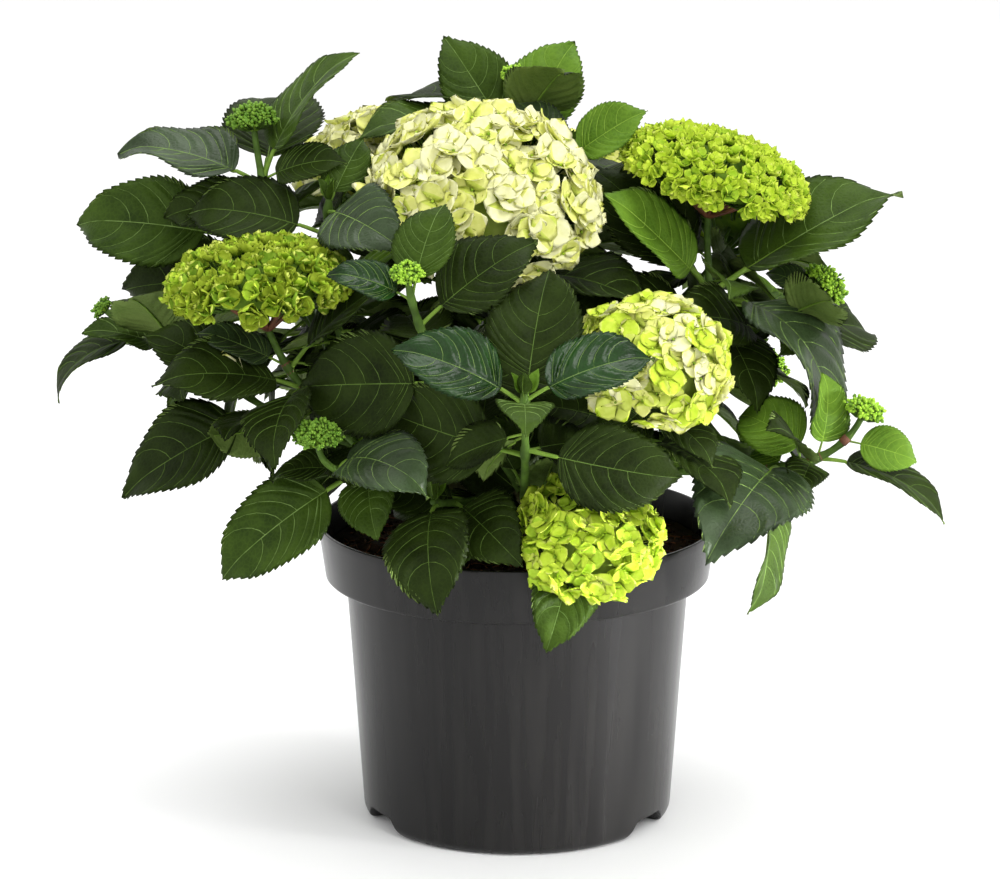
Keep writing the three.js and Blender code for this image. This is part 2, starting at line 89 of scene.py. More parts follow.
# Each shoot: limb, how far along it, tip, facing, head, head radius, seed, pairs, its own leaves as
# (share, heading, rise, length, droop, roll), one tint letter for each of these leaves, and the
# head's look. The tints are in LEAF_LOOKS, the looks of open heads in FLORETS, those of buds in BEADS.
SHOOTS = {
    "top": (
        "middle", 1, (-22, -32, 410), (-75, 60), "mophead", 72, 11, 1,
        [(0.5, 165, 40, 120), (0.4, -25, 20, 110), (0.55, 75, 60, 100)], "bdd", "cream"),
    "back_top": (
        "back", 1, (-2, 84, 474), (80, 84), "bud", 10, 12, 1,
        [(0.7, 180, 58, 90, 24, -115), (0.7, 8, 64, 82, 24, 110), (0.8, 176, 30, 116, 60, -42),
         (0.72, 184, 24, 128, 40, -62)], "mbdm", "bright"),
    "back_right_top": (
        "middle", 0.75, (32, 22, 436), (20, 80), "tuft", 7, 13, 1,
        [(0.94, -24, 40, 64, 24, 80), (0.92, 140, 56, 66, 24, -50)], "bg", ""),
    "right_top": (
        "right", 1, (126, 18, 416), (-18, 73), "flat", 60, 14, 0,
        [(0.42, 170, 52, 112, 20, -56), (0.42, -136, 64, 100, 16, -30), (0.4, 10, 35, 144, 16, 10),
         (0.36, -30, 16, 140, 116, 20), (0.2, -140, 30, 110, 60), (0.3, -60, -16, 84, 50, 40)],
        "dbmgdd", "lime"),
    "right": (
        "right", 0.8, (198, 12, 348), (15, 40), "bud", 17, 15, 2,
        [(0.95, -170, 40, 38, 40, -50), (0.8, -60, 10, 64, 60), (0.6, 95, 30, 100)], "gmd", "bright"),
    "right_low": (
        "front_right", 0.45, (217, -70, 284), (10, 68), "bud", 14, 16, 0,
        [(0.88, -20, -6, 50, 40, 60), (0.76, -6, 10, 94, 50, 0), (0.76, 120, 78, 56, 40, -30),
         (0.76, 168, 38, 68, 60, -50), (0.62, -100, 18, 136, 66, 25), (0.6, -80, -70, 94, 20, -20),
         (0.74, -100, 6, 46, 40, 30), (0.66, 140, 20, 40, 40, -60)], "bdbbgmdb", "bright"),
    "front_right": (
        "front_right", 1, (82, -130, 326), (-75, 54), "mophead", 47, 17, 0,
        [(0.6, -105, 10, 60, 70), (0.55, -50, 10, 66, 60), (0.3, -50, 10, 96), (0.36, 195, 30, 84),
         (0.7, 60, 50, 90)], "ddddd", "pale"),
    "front": (
        "front", 1, (4, -184, 322), (-100, 80), "tuft", 8, 18, 0,
        [(0.93, -165, 40, 90, 50), (0.95, -12, 36, 86, 50), (0.88, 82, 78, 98, 30),
         (0.9, -90, 34, 60, 70), (0.56, 164, 10, 112, 30, -36), (0.62, -8, -2, 102, 40, 30)],
        "ppdmdd", ""),
    "front_low": (
        "front", 0.65, (44, -140, 220), (-80, 50), "mophead", 44, 19, 0,
        [(0.72, -90, -20, 80, 60), (0.76, -70, -16, 60, 60), (0.5, 160, 40, 84), (0.55, 6, -8, 70)],
        "mmdd", "openlime"),
    "front_mid": (
        "front", 0.82, (-66, -148, 386), (-100, 70), "bud", 11, 20, 0,
        [(0.9, 45, 78, 68), (0.9, -160, 36, 56), (0.8, 0, 46, 90, 30), (0.56, 180, 0, 104, 40, -30),
         (0.5, 0, 30, 96)], "mpddd", "bright"),
    "left_high": (
        "left", 0.9, (-118, -36, 414), (-60, 74), "tuft", 7, 21, 1,
        [(0.92, -68, 14, 90, 60), (0.94, 20, 60, 56, 30, 60), (0.8, 175, 24, 96, 40, -30)], "gmd", ""),
    "left_top": (
        "left", 1, (-168, 4, 456), (120, 78), "bud", 17, 22, 0,
        [(0.78, 2, 74, 106, 44, 18), (0.76, 86, 42, 122, 40, 50), (0.76, 172, 31, 104, 40, -14),
         (0.78, -40, 30, 64, 40, 20), (0.7, -150, 20, 70, 40, -60)], "mdgdd", "green"),
    "left": (
        "left", 0.75, (-196, 24, 406), (160, 60), "bud", 11, 23, 1,
        [(0.8, -175, 14, 118, 40, -72), (0.6, 178, 2, 112, 40, -60)], "md", "green"),
    "left_low": (
        "left", 0.5, (-268, 16, 332), (175, 40), "bud", 8, 24, 1,
        [(0.8, 150, 40, 60, 30, -40), (0.82, -172, 12, 88, 90, -24), (0.76, -165, 30, 62, 30, -50),
         (0.6, -120, 20, 90)], "mdmd", "green"),
    "front_left": (
        "front_left", 1, (-160, -78, 364), (-110, 82), "flat", 54, 25, 0,
        [(0.5, -150, 26, 100, 46, -30), (0.6, -36, 40, 104, 36), (0.5, -112, 4, 84, 60, -10),
         (0.62, 175, 30, 62, 20, -8)], "dddg", "olive"),
    "front_left_low": (
        "front_left", 0.66, (-122, -132, 282), (-100, 84), "bud", 16, 26, 0,
        [(0.66, -74, 42, 90, 110), (0.5, -158, -24, 112, 36, -22), (0.6, 165, 0, 50),
         (0.4, -95, 0, 66, 60)], "gmdm", "green"),
    "far_left": (
        "front_left", 0.5, (-182, -76, 312), (-110, 50), "mophead", 15, 27, 0,
        [(0.7, -168, -18, 112, 30, -30), (0.6, -172, -14, 64, 40, 130), (0.82, 178, 34, 84, 60, -50)],
        "ddd", "pale"),
    "foot": (
        "front", 0.4, (-52, -120, 238), (-100, 20), "tuft", 6, 28, 0,
        [(0.9, -102, 6, 98, 90), (0.5, -165, 20, 72), (0.66, -56, 10, 90, 60)], "ddd", ""),
    "back_mid": (
        "back", 0.8, (44, 160, 384), (80, 56), "mophead", 50, 31, 3, [], "", "pale"),
    "back_low": ("back", 0.55, (-30, 190, 290), (95, 30), "bud", 16, 32, 4, [], "", "green"),
    "back_right": (
        "back_right", 1, (148, 134, 366), (44, 54), "mophead", 50, 33, 4, [], "", "limecup"),
    "back_right_low": (
        "back_right", 0.65, (170, 124, 270), (40, 26), "bud", 16, 34, 4, [], "", "bright"),
    "back_left_top": (
        "back_left", 1, (-96, 116, 408), (130, 66), "mophead", 48, 35, 3, [], "", "cream"),
    "back_left": (
        "back_left", 0.75, (-184, 108, 340), (145, 44), "bud", 16, 36, 4, [], "", "green"),
    "back_left_low": (
        "back_left", 0.5, (-120, 156, 258), (125, 22), "tuft", 8, 37, 4, [], "", ""),
}

Shoot = namedtuple("Shoot", "limb at tip facing head radius seed pairs leaves tints look")
SHOOTS = {name: Shoot(*row) for name, row in SHOOTS.items()}
RED_JOINTED = ("right_top", "right_low", "front_left")  # shoots with red rings where leaves stand

# What each kind of random drawing adds to its seed.
SEEDS = Sizes(limb=3, lumps=5, blade=7, stem=30, tuft=40, crumbs=77, inner=400, head=500, bud=700,
              floret=900, inner_blade=9000)

# ---- helpers

UP = np.array((0.0, 0.0, 1.0))
ACROSS = np.array((1.0, 0.0, 0.0))
TURN = 6.28  # a whole turn, near enough for headings and phases drawn at random
MASK = 0xFFFFFFFF


def unit(v):
    return v / np.linalg.norm(v, axis=-1, keepdims=True)


def lerp(a, b, share):
    return a + (b - a) * share


def smooth(low, high, x):
    share = np.clip((x - low) / (high - low), 0, 1)
    return share * share * (3 - 2 * share)


def random_from(seed):
    """The numbers from 0 to 1 that a seed fixes, the same as in the part's source."""
    state = seed

    def draw():
        nonlocal state
        state = (state + 0x6D2B79F5) & MASK
        t = ((state ^ (state >> 15)) * (1 | state)) & MASK
        t = ((t + (((t ^ (t >> 7)) * (61 | t)) & MASK)) & MASK) ^ t
        return ((t ^ (t >> 14)) & MASK) / 4294967296

    return draw


def direction(heading, rise):
    h, r = math.radians(heading), math.radians(rise)
    return np.array((math.cos(h) * math.cos(r), math.sin(h) * math.cos(r), math.sin(r)))


def turned_about(v, axis, angle):
    c, s = math.cos(angle), math.sin(angle)
    return v * c + np.cross(axis, v) * s + axis * np.dot(axis, v) * (1 - c)


def frame_towards(normal):
    """Three columns: two directions across the normal, and the normal."""
    side = unit(np.cross(normal, UP if abs(normal[2]) < 0.95 else ACROSS))
    return np.stack((side, np.cross(normal, side), normal), axis=1)


def axes_of(shoot):
    """The axes of a shoot's head: two directions across the way it faces, and that way."""
    return frame_towards(direction(*shoot.facing))


class Curve:
    """A Bezier curve of three or four points."""

    def __init__(self, *points):
        self.points = np.array(points, float)

    def at(self, share):
        layer = self.points[:, None, :] * np.ones((1, np.size(share), 1))
        t = np.atleast_1d(share)[:, None]
        while len(layer) > 1:
            layer = layer[:-1] * (1 - t) + layer[1:] * t
        return layer[0] if np.ndim(share) else layer[0][0]

    def along(self, share):
        steps = np.diff(self.points, axis=0)
        return unit(Curve(*steps).at(share))


def polar(radius, angle):
    return radius * np.cos(angle), radius * np.sin(angle)


def around(sides):
    return np.linspace(0, 2 * math.pi, sides, endpoint=False)


def turned(x, y, angle):
    """A point or points turned about the upright axis."""
    c, s = math.cos(angle), math.sin(angle)
    return x * c - y * s, x * s + y * c


def added(name, data):
    made = bpy.data.objects.new(name, data)
    bpy.context.scene.collection.objects.link(made)
    return made


class Batch:
    """Faces that end up in one mesh, with a material for each."""

    def __init__(self):
        self.points, self.quads, self.kinds, self.count = [], [], [], 0

    def add(self, points, quads, kind=0):
        """Quads whose last two corners are the same are triangles."""
        points = np.asarray(points, float).reshape(-1, 3)
        quads = np.asarray(quads, int).reshape(-1, 4)
        self.points.append(points)
        self.quads.append(quads + self.count)
        self.kinds.append(np.broadcast_to(kind, len(quads)))
        self.count += len(points)

    def triangles(self):
        return sum(2 * len(q) - int(np.sum(q[:, 2] == q[:, 3])) for q in self.quads)

    def mesh(self, name, materials=()):
        points = np.concatenate(self.points) * MM
        quads = np.concatenate(self.quads)
        sizes = np.where(quads[:, 2] == quads[:, 3], 3, 4)
        corners = quads[np.arange(4)[None, :] < sizes[:, None]]
        mesh = bpy.data.meshes.new(name)
        mesh.vertices.add(len(points))
        mesh.vertices.foreach_set("co", points.ravel())
        mesh.loops.add(len(corners))
        mesh.loops.foreach_set("vertex_index", corners)
        mesh.polygons.add(len(quads))
        mesh.polygons.foreach_set("loop_start", np.concatenate(([0], np.cumsum(sizes)[:-1])))
        mesh.polygons.foreach_set("material_index", np.concatenate(self.kinds))
        mesh.polygons.foreach_set("use_smooth", np.full(len(quads), True))
        for material in materials:
            mesh.materials.append(material)
        mesh.update(calc_edges=True)
        mesh.validate()
        return mesh

    def piece(self, name, materials, slot, nodes=()):
        """The faces as one piece of the plant, in place of the named CAD nodes."""
        made = added(name, self.mesh(name, materials))
        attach(made, "root")
        if nodes:
            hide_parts(*nodes)
        return made


def grid_quads(rows, columns, wrap=False):
    """Quads of a grid of points, row by row; wrap joins the last column to the first."""
    row = np.arange(rows - 1)[:, None] * columns
    here = np.arange(columns if wrap else columns - 1)[None, :]
    there = (here + 1) % columns
    corners = (row + here, row + there, row + columns + there, row + columns + here)
    return np.stack(corners, -1).reshape(-1, 4)


def sheet(batch, top, under, kinds=0, under_kinds=None):
    """A thin closed sheet: two grids of points that share their margin, with a kind for each face."""
    rows, columns = top.shape[:2]
    index = np.arange(rows * columns).reshape(rows, columns)
    inner = under[1:-1, 1:-1].reshape(-1, 3)
    below = index.copy()
    below[1:-1, 1:-1] = rows * columns + np.arange(len(inner)).reshape(rows - 2, columns - 2)
    quads = grid_quads(rows, columns)[:, ::-1]
    both = np.concatenate((quads, below.reshape(-1)[quads][:, ::-1]))
    under_kinds = kinds if under_kinds is None else under_kinds
    kinds = [np.broadcast_to(kind, len(quads)) for kind in (kinds, under_kinds)]
    batch.add(np.concatenate((top.reshape(-1, 3), inner)), both, np.concatenate(kinds))


def closed(batch, rings, low, high, kind=0, clockwise=False):
    """A closed body round rings of points, from a first point, low, to a last one, high.

    The rings run anticlockwise as seen from high, or clockwise where the call says so.
    """
    count, sides = rings.shape[:2]
    quads = [grid_quads(count, sides, wrap=True)]
    here = np.arange(sides)
    there = np.roll(here, -1)
    for first, second, centre in ((there, here, 0), (here, there, 1)):
        start = centre * (count - 1) * sides
        end = np.full(sides, count * sides + centre)
        quads.append(np.stack((start + first, start + second, end, end), -1))
    quads = np.concatenate(quads)
    if clockwise:
        triangle = (quads[:, 2] == quads[:, 3])[:, None]
        quads = np.where(triangle, quads[:, (0, 2, 1, 1)], quads[:, (0, 3, 2, 1)])
    batch.add(np.concatenate((rings.reshape(-1, 3), (low, high))), quads, kind)


def tube(batch, path, radii, sides=8, kind=0):
    """A closed round tube along a path of points."""
    path, radii = np.asarray(path, float), np.broadcast_to(radii, (len(path),))
    along = unit(np.gradient(path, axis=0))
    upright = np.abs(along @ UP)[:, None] > 0.98
    side = unit(np.cross(along, np.where(upright, ACROSS, UP)))
    for i in range(1, len(side)):
        side[i] = unit(side[i - 1] - along[i] * np.dot(side[i - 1], along[i]))
    other = np.cross(along, side)
    x, y = polar(1, around(sides))
    ring = side[:, None] * x[None, :, None] + other[:, None] * y[None, :, None]
    rings = path[:, None] + ring * radii[:, None, None]
    closed(batch, rings, path[0] - along[0] * radii[0] * 0.3, path[-1] + along[-1] * radii[-1] * 0.3, kind)


def ball_template(detail):
    mesh = bmesh.new()
    bmesh.ops.create_icosphere(mesh, subdivisions=detail, radius=1)
    points = np.array([v.co for v in mesh.verts])
    faces = np.array([[v.index for v in f.verts] for f in mesh.faces])
    mesh.free()
    return points, np.concatenate((faces, faces[:, 2:]), axis=1)


BALL = ball_template(2)
BEAD = ball_template(1)

# ---- materials


def colour_of(text, gain=1.0):
    """A colour given as in a style sheet, as the shader wants it."""
    values = [int(text[i:i + 2], 16) / 255 for i in (1, 3, 5)]
    linear = [v / 12.92 if v <= 0.04045 else ((v + 0.055) / 1.055) ** 2.4 for v in values]
    return (*[min(v * gain, 1) for v in linear], 1)


class Looks:
    """A node material on the surface shader, in the object's own coordinates."""

    def __init__(self, name, roughness, specular=0.5):
        self.material = bpy.data.materials.new(name)
        self.material.use_nodes = True
        self.tree = self.material.node_tree
        self.shader = self.tree.nodes["Principled BSDF"]
        self.give(self.shader, {"Roughness": roughness, "Specular IOR Level": specular})
        self.place = self.tree.nodes.new("ShaderNodeTexCoord").outputs["Object"]

    def give(self, node, inputs):
        """Sets a node's named inputs, or links them to the outputs of other nodes."""
        for name, value in inputs.items():
            if isinstance(value, bpy.types.NodeSocket):
                self.tree.links.new(value, node.inputs[name])
            else:
                node.inputs[name].default_value = value

    def node(self, kind, inputs, output, **settings):
        node = self.tree.nodes.new("ShaderNode" + kind)
        for name, value in settings.items():
            setattr(node, name, value)
        self.give(node, inputs)
        return node.outputs[output]

    def stretched(self, scale):
        return self.node("Mapping", {"Scale": scale, "Vector": self.place}, "Vector")

    def noise(self, scale, detail=4, vector=None):
        inputs = {"Scale": scale, "Detail": detail, "Vector": vector or self.place}
        return self.node("TexNoise", inputs, "Fac")

    def cells(self, scale):
        inputs = {"Scale": scale, "Vector": self.place}
        return self.node("TexVoronoi", inputs, "Distance", feature="DISTANCE_TO_EDGE")

    def ramp(self, value, low, dark, high, light):
        """From one colour to another; a number stands for a grey."""
        node = self.tree.nodes.new("ShaderNodeValToRGB")
        for stop, position, colour in zip(node.color_ramp.elements, (low, high), (dark, light)):
            stop.position = position
            stop.color = colour_of(colour) if isinstance(colour, str) else (colour, colour, colour, 1)
        self.give(node, {"Fac": value})
        return node.outputs["Color"]

    def mix(self, factor, a, b):
        return self.node("Mix", {"Factor": factor, "A": a, "B": b}, "Result", data_type="RGBA")

    def colour(self, output):
        self.give(self.shader, {"Base Color": output})

    def rough(self, value, low, high):
        made = self.node("MapRange", {"To Min": low, "To Max": high, "Value": value}, "Result")
        self.give(self.shader, {"Roughness": made})

    def bump(self, value, depth, strength):
        made = self.node("Bump", {"Distance": depth, "Strength": strength, "Height": value}, "Normal")
        self.give(self.shader, {"Normal": made})


def leaf_material(name, dark, light, roughness, specular, relief=0.0004, sheen=0.0):
    """Leaf green in drifts, with a fine raised net of veinlets."""
    looks = Looks(name, roughness, specular)
    drift = looks.ramp(looks.noise(38, 3), 0.3, dark, 0.72, light)
    net = looks.cells(330)
    veinlets = looks.ramp(net, 0, 0.3, 0.16, 0)
    looks.colour(looks.mix(veinlets, drift, looks.mix(0.5, drift, colour_of(light, 1.6))))
    looks.bump(net, relief, 0.9)
    looks.give(looks.shader, {"Sheen Weight": sheen, "Sheen Roughness": 0.4})
    return looks.material


def soft_material(name, dark, light, roughness, scale=120, relief=0.0002, specular=0.3):
    """A plain living colour with faint drifts and a faint grain."""
    looks = Looks(name, roughness, specular)
    looks.colour(looks.ramp(looks.noise(scale, 3), 0.3, dark, 0.7, light))
    looks.bump(looks.noise(scale * 8, 2), relief, 0.6)
    return looks.material


def petal_material(name, dark, light):
    """A sepal's colour, with fine ribs."""
    looks = Looks(name, 0.6, 0.08)
    looks.colour(looks.ramp(looks.noise(260, 3), 0.32, dark, 0.68, light))
    looks.bump(looks.noise(900, 2), 0.0002, 0.5)
    return looks.material


def plastic_material():
    """Black moulded plastic, satin, with faint upright drawing marks."""
    looks = Looks("pot_plastic", 0.25, 0.25)
    streaks = looks.noise(1, 4, looks.stretched((150, 150, 3)))
    wide = looks.noise(1, 2, looks.stretched((60, 60, 2)))
    looks.colour(looks.ramp(streaks, 0.35, "#111010", 0.75, "#1c1b1a"))
    looks.rough(wide, 0.16, 0.36)
    looks.bump(streaks, 0.00008, 0.3)
    return looks.material


def peat_material():
    looks = Looks("peat", 0.95, 0.2)
    coarse = looks.ramp(looks.noise(140, 6), 0.35, "#140c07", 0.7, "#3a2416")
    flecks = looks.ramp(looks.noise(700, 3), 0.62, 0, 0.7, 1)
    looks.colour(looks.mix(flecks, coarse, colour_of("#5a3520")))
    looks.bump(looks.noise(500, 5), 0.0015, 0.9)
    return looks.material


def bark_material(name, dark, light):
    """Thin bark: long streaks with paler breathing spots."""
    looks = Looks(name, 0.7, 0.3)
    streaks = looks.noise(1, 5, looks.stretched((420, 420, 60)))
    spots = looks.ramp(looks.noise(900, 1), 0.66, 0, 0.72, 1)
    body = looks.ramp(streaks, 0.3, dark, 0.72, light)
    looks.colour(looks.mix(spots, body, colour_of(light, 1.6)))
    looks.bump(streaks, 0.0006, 0.8)
    return looks.material


LEAF_LOOKS = {
    "d": leaf_material("leaf_dark", "#151e06", "#283610", 0.45, 0.06),
    "m": leaf_material("leaf_green", "#26370e", "#3e5419", 0.45, 0.07),
    "b": leaf_material("leaf_bright", "#466618", "#648628", 0.45, 0.1),
    "y": leaf_material("leaf_young", "#6e9626", "#90b43e", 0.45, 0.1),
    "g": leaf_material("leaf_grey", "#202e14", "#36472a", 0.36, 0.22, sheen=0.03),
    "p": leaf_material("leaf_puckered", "#0f2208", "#214116", 0.24, 0.22, relief=0.00025),
}
UNDERSIDE = leaf_material("leaf_underside", "#52682e", "#728646", 0.6, 0.08)
VEIN_TONES = {
    "dark": ("#486024", "#627c3a", 0.08), "green": ("#607a38", "#84a05a", 0.08),
    "bright": ("#84a83a", "#a2c252", 0.1),
}
VEIN_LOOKS = {name: soft_material("vein_" + name, dark, light, 0.5, specular=shine)
              for name, (dark, light, shine) in VEIN_TONES.items()}
VEIN_TINTS = dict(d="dark", m="green", g="green", p="green", b="bright", y="bright")
GREEN_STEM = soft_material("green_stem", "#374d1c", "#506c2a", 0.5, specular=0.12)
STALK = soft_material("leaf_stalk", "#5c7c2a", "#7a983c", 0.5, specular=0.12)
RED_NODE = soft_material("red_node", "#5a3b2a", "#7a4a36", 0.6)
GREEN_BARK = bark_material("green_bark", "#35341b", "#56572c")
BROWN_BARK = bark_material("brown_bark", "#3a2c1e", "#6a5338")
PLASTIC = plastic_material()
PEAT = peat_material()
FIBRE = soft_material("peat_fibre", "#4a2a19", "#8a5636", 0.8)

PETAL_TONES = {
    "cream": ("#e2e2a6", "#ecebbe"), "butter": ("#d8dc74", "#e4e68e"), "pale_lime": ("#c8d658", "#d6e26e"),
    "lime": ("#b6d034", "#cade4e"), "deep_lime": ("#9abc2a", "#b2d042"), "olive": ("#8a9e24", "#a4b63a"),
    "green": ("#6c9020", "#88a832"),
}
PETALS = {name[0]: petal_material("sepal_" + name, *tones) for name, tones in PETAL_TONES.items()}
PETAL_KINDS = {letter: i for i, letter in enumerate(PETALS)}
# Painted shade: the balls inside the heads stand for their dense inside and are coloured as the shade seen in
# the gaps between florets and buds, one deeper lime and one paler lime.
SHADE_CORE = soft_material("flower_shade_core", "#5c7f1c", "#7a9c28", 0.8)
PALE_SHADE_CORE = soft_material("flower_shade_core_pale", "#93ad3e", "#b4c764", 0.8)
BEADS = {
    "green": soft_material("bead_green", "#4f7a20", "#7a9e34", 0.5, scale=500, specular=0.2),
    "bright": soft_material("bead_bright", "#86b52c", "#b0d848", 0.5, scale=500, specular=0.2),
}

# ---- the growth rule


def limb_curve(end, bow):
    tip = np.array(end, float)
    reach = math.hypot(tip[0], tip[1])
    foot = tip * (1, 1, 0) / reach * min(LIMB.spread, reach * LIMB.out_share)
    foot[2] = SOIL.level + SOIL.dome + CROWN.height * LIMB.up_share
    middle = (foot + tip) / 2
    middle[2] += bow * np.linalg.norm(tip - foot)
    return Curve(foot, middle, tip)


def stem_curve(limb, at, tip, facing):
    foot, tip = limb.at(at), np.array(tip, float)
    reach = np.linalg.norm(tip - foot) * STEM.handle
    start = unit(limb.along(at) * STEM.along + unit(tip - foot))
    return Curve(foot, foot + start * reach, tip - direction(*facing) * reach, tip)


class Leaf:
    """A leaf's foot, the way it points and faces, and its size, as the part's source has them."""

    def __init__(self, foot, heading, rise, length, breadth, droop, roll):
        self.foot, self.heading, self.rise, self.length = foot, heading, rise, length
        self.breadth, self.droop, self.roll = breadth, droop, roll
        self.out = direction(heading, rise)
        face = direction(heading, rise + 90)
        outside = foot * (1, 1, 0) / LEAF.lean_from
        outside = outside / max(np.linalg.norm(outside), 1)
        lean = LEAF.lean * np.dot(np.cross(face, self.out), outside)
        self.face = turned_about(face, self.out, math.radians(roll - lean))
        self.across = np.cross(self.face, self.out)
        self.bend = math.radians(droop)
        self.half = length * breadth / 2
        self.tint, self.share, self.seed, self.inner = "d", 0.5, 0, False

    def moved(self, swing, tip, scale):
        return Leaf(self.foot, self.heading + swing, self.rise + tip, self.length * scale,
                    self.breadth, self.droop, self.roll)

    def rib(self, share):
        """Points on the midrib, and the ways along and out of the blade there."""
        turned = (self.bend * share)[:, None]
        reach = self.length / self.bend
        point = self.foot + reach * np.sin(turned) * self.out - reach * (1 - np.cos(turned)) * self.face
        normal = np.sin(turned) * self.out + np.cos(turned) * self.face
        along = np.cos(turned) * self.out - np.sin(turned) * self.face
        return point, along, normal

    def corners(self):
        """The corners that tell the part's own plain leaf: its margin's widest points and its tip."""
        point, _, normal = self.rib(np.array((*CAD_STATIONS, 1.0)))
        spots = [point[3]]
        for i, width in enumerate(CAD_WIDTHS):
            half = self.half * width
            for side in (-1, 1):
                spots.append(point[i] + self.across * side * half + normal[i] * half * LEAF.fold)
        return spots


EXTRA_TINTS = "dddmdmddbm"  # dealt out to the leaves that the rule adds


def grown_leaves(shoot, stem):
    """The leaves of a shoot before they settle: its own, then the pairs that the rule adds."""
    random = random_from(shoot.seed)

    def either(size):
        return (2 * random() - 1) * size

    def finish(share, heading, rise, length, droop=None, roll=None):
        breadth = lerp(*LEAF.breadth, random())
        own_droop = lerp(*LEAF.droop, random())
        own_roll = either(LEAF.roll)
        leaf = Leaf(stem.at(share), heading, rise, length, breadth,
                    own_droop if droop is None else droop, own_roll if roll is None else roll)
        leaf.share = share
        return leaf

    leaves = [finish(*row) for row in shoot.leaves]
    first = random() * 360
    for pair in range(shoot.pairs):
        share = PAIRS.start - pair * PAIRS.step
        for side in (0, 180):
            heading = first + pair * PAIRS.turn + side + either(PAIRS.spread)
            rise = PAIRS.rises[pair] + either(PAIRS.spread)
            length = PAIRS.lengths[pair] * (1 + either(PAIRS.spread) / 100)
            leaves.append(finish(share, heading, rise, length))
    for i, leaf in enumerate(leaves):
        extra = EXTRA_TINTS[(shoot.seed * 3 + i) % len(EXTRA_TINTS)]
        leaf.tint = shoot.tints[i] if i < len(shoot.tints) else extra
        leaf.seed = shoot.seed * 100 + i
    return leaves


def corner_tree(node):
    points = [v.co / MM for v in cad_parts[node].data.vertices]
    tree = KDTree(len(points))
    for i, point in enumerate(points):
        tree.insert(point, i)
    tree.balance()
    return tree


def settled(leaf, tree, near=0.2, needed=4):
    """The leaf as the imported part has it, or None where it was left out."""
    for scale in SCALES:
        for swing in SWINGS:
            for tip in (0, swing):
                tried = leaf.moved(swing, tip, scale)
                found = sum(tree.find(spot)[2] < near for spot in tried.corners())
                if found >= needed:
                    tried.tint, tried.share, tried.seed = leaf.tint, leaf.share, leaf.seed
                    return tried
    return None


limbs = {name: limb_curve(*row) for name, row in LIMBS.items()}
shoots = {}
for name, shoot in SHOOTS.items():
    stem = stem_curve(limbs[shoot.limb], shoot.at, shoot.tip, shoot.facing)
    tree = corner_tree("shoot_" + name)
    kept = [settled(leaf, tree) for leaf in grown_leaves(shoot, stem)]
    shoots[name] = (stem, [leaf for leaf in kept if leaf is not None])

# ---- inner leaves

CORE = np.array((0.0, 0.0, 290.0))  # the middle of the plant's green part
INNER = Sizes(tries=90, most=4, shares=(0.1, 0.75), rises=(-30, 60), lengths=(56, 100), breadth=0.6,
             droop=(16, 60), clear=7, stem_clear=4, lowest=206, reach=0.86, cone=0.95)


def blade_spots(leaf):
    """Points spread over a leaf's blade: on its midrib and to both sides of it."""
    point, _, _ = leaf.rib(np.linspace(0.34, 1, 8))
    across = leaf.across * leaf.half * 0.66
    return np.concatenate((point, point[:7] + across, point[:7] - across))


def in_a_head(spots):
    """Whether any of the spots lies in a flower head."""
    for shoot in SHOOTS.values():
        shape = HEAD[shoot.head]
        local = (spots - shoot.tip) @ axes_of(shoot) / shoot.radius
        local[:, 2] /= np.where(local[:, 2] > 0, shape.up, shape.down + 0.25)
        if np.any(np.linalg.norm(local, axis=1) < 1.1):
            return True
    return False


def within_reach(spots, outer):
    """Whether all the spots lie well inside the plant, as seen from its middle."""
    far, limit = np.linalg.norm(spots - CORE, axis=1), np.linalg.norm(outer - CORE, axis=1)
    near = unit(spots - CORE) @ unit(outer - CORE).T > INNER.cone
    return bool(np.all(far < INNER.reach * np.max(near * limit, axis=1)))


def nearest(spots, others):
    return np.min(np.linalg.norm(spots[:, None] - others[None], axis=2))


def grow_inner_leaves():
    """Smaller leaves on the stems' lower parts, each where it has room."""
    blades = np.concatenate([blade_spots(leaf) for _, leaves in shoots.values() for leaf in leaves])
    outer = blades.copy()
    curves = [stem for stem, _ in shoots.values()] + list(limbs.values())
    stems = np.concatenate([curve.at(np.linspace(0, 1, 24)) for curve in curves])
    made = []
    for i, curve in enumerate(curves):
        draw = random_from(SEEDS.inner + i)
        grown = 0
        for _ in range(INNER.tries):
            foot = curve.at(lerp(*INNER.shares, draw()))
            leaf = Leaf(foot, draw() * 360, lerp(*INNER.rises, draw()), lerp(*INNER.lengths, draw()),
                        INNER.breadth, lerp(*INNER.droop, draw()), 40 * (draw() - 0.5))
            spots = blade_spots(leaf)
            if grown == INNER.most or spots[:, 2].min() < INNER.lowest or not within_reach(spots, outer):
                continue
            if in_a_head(spots) or nearest(spots, blades) < INNER.clear:
                continue
            if nearest(spots, stems) < INNER.stem_clear:
                continue
            leaf.tint, leaf.seed, leaf.inner = "dmd"[grown % 3], SEEDS.inner_blade + 10 * i + grown, True
            blades = np.concatenate((blades, spots))
            made.append(leaf)
            grown += 1
    return made


# ---- leaves

SIDES = (-1, 1)
TEETH = 17
TOOTHED = (0.07, 0.965)  # shares along the margin between which it is toothed
VEIN_COUNT = 7
COLUMNS = np.array((0, 0.07, 0.23, 0.44, 0.66, 0.87, 1.0))
FINE_COLUMNS = np.array((0, 0.05, 0.11, 0.18, 0.26, 0.34, 0.42, 0.5, 0.58, 0.66, 0.74, 0.82, 0.9, 1.0))
COARSE_COLUMNS = np.array((0, 0.25, 0.65, 1.0))


def blade_width(u):
    """The blade's half width over its widest, from its base to its drawn-out tip."""
    body = u ** 0.55 * np.clip(1 - u, 0, 1) ** 0.97 / 0.37
    return body * (1 - 0.35 * smooth(0.78, 0.96, u))


def swept(base, v):
    """Where a line that leaves the midrib at base, as the side veins do, has come to at v."""
    return base + 0.33 * (1 - base ** 2.5) * smooth(-0.01, 0.1, base) * v ** 1.7


FINE_BASES = np.linspace(0, 1, 2001)


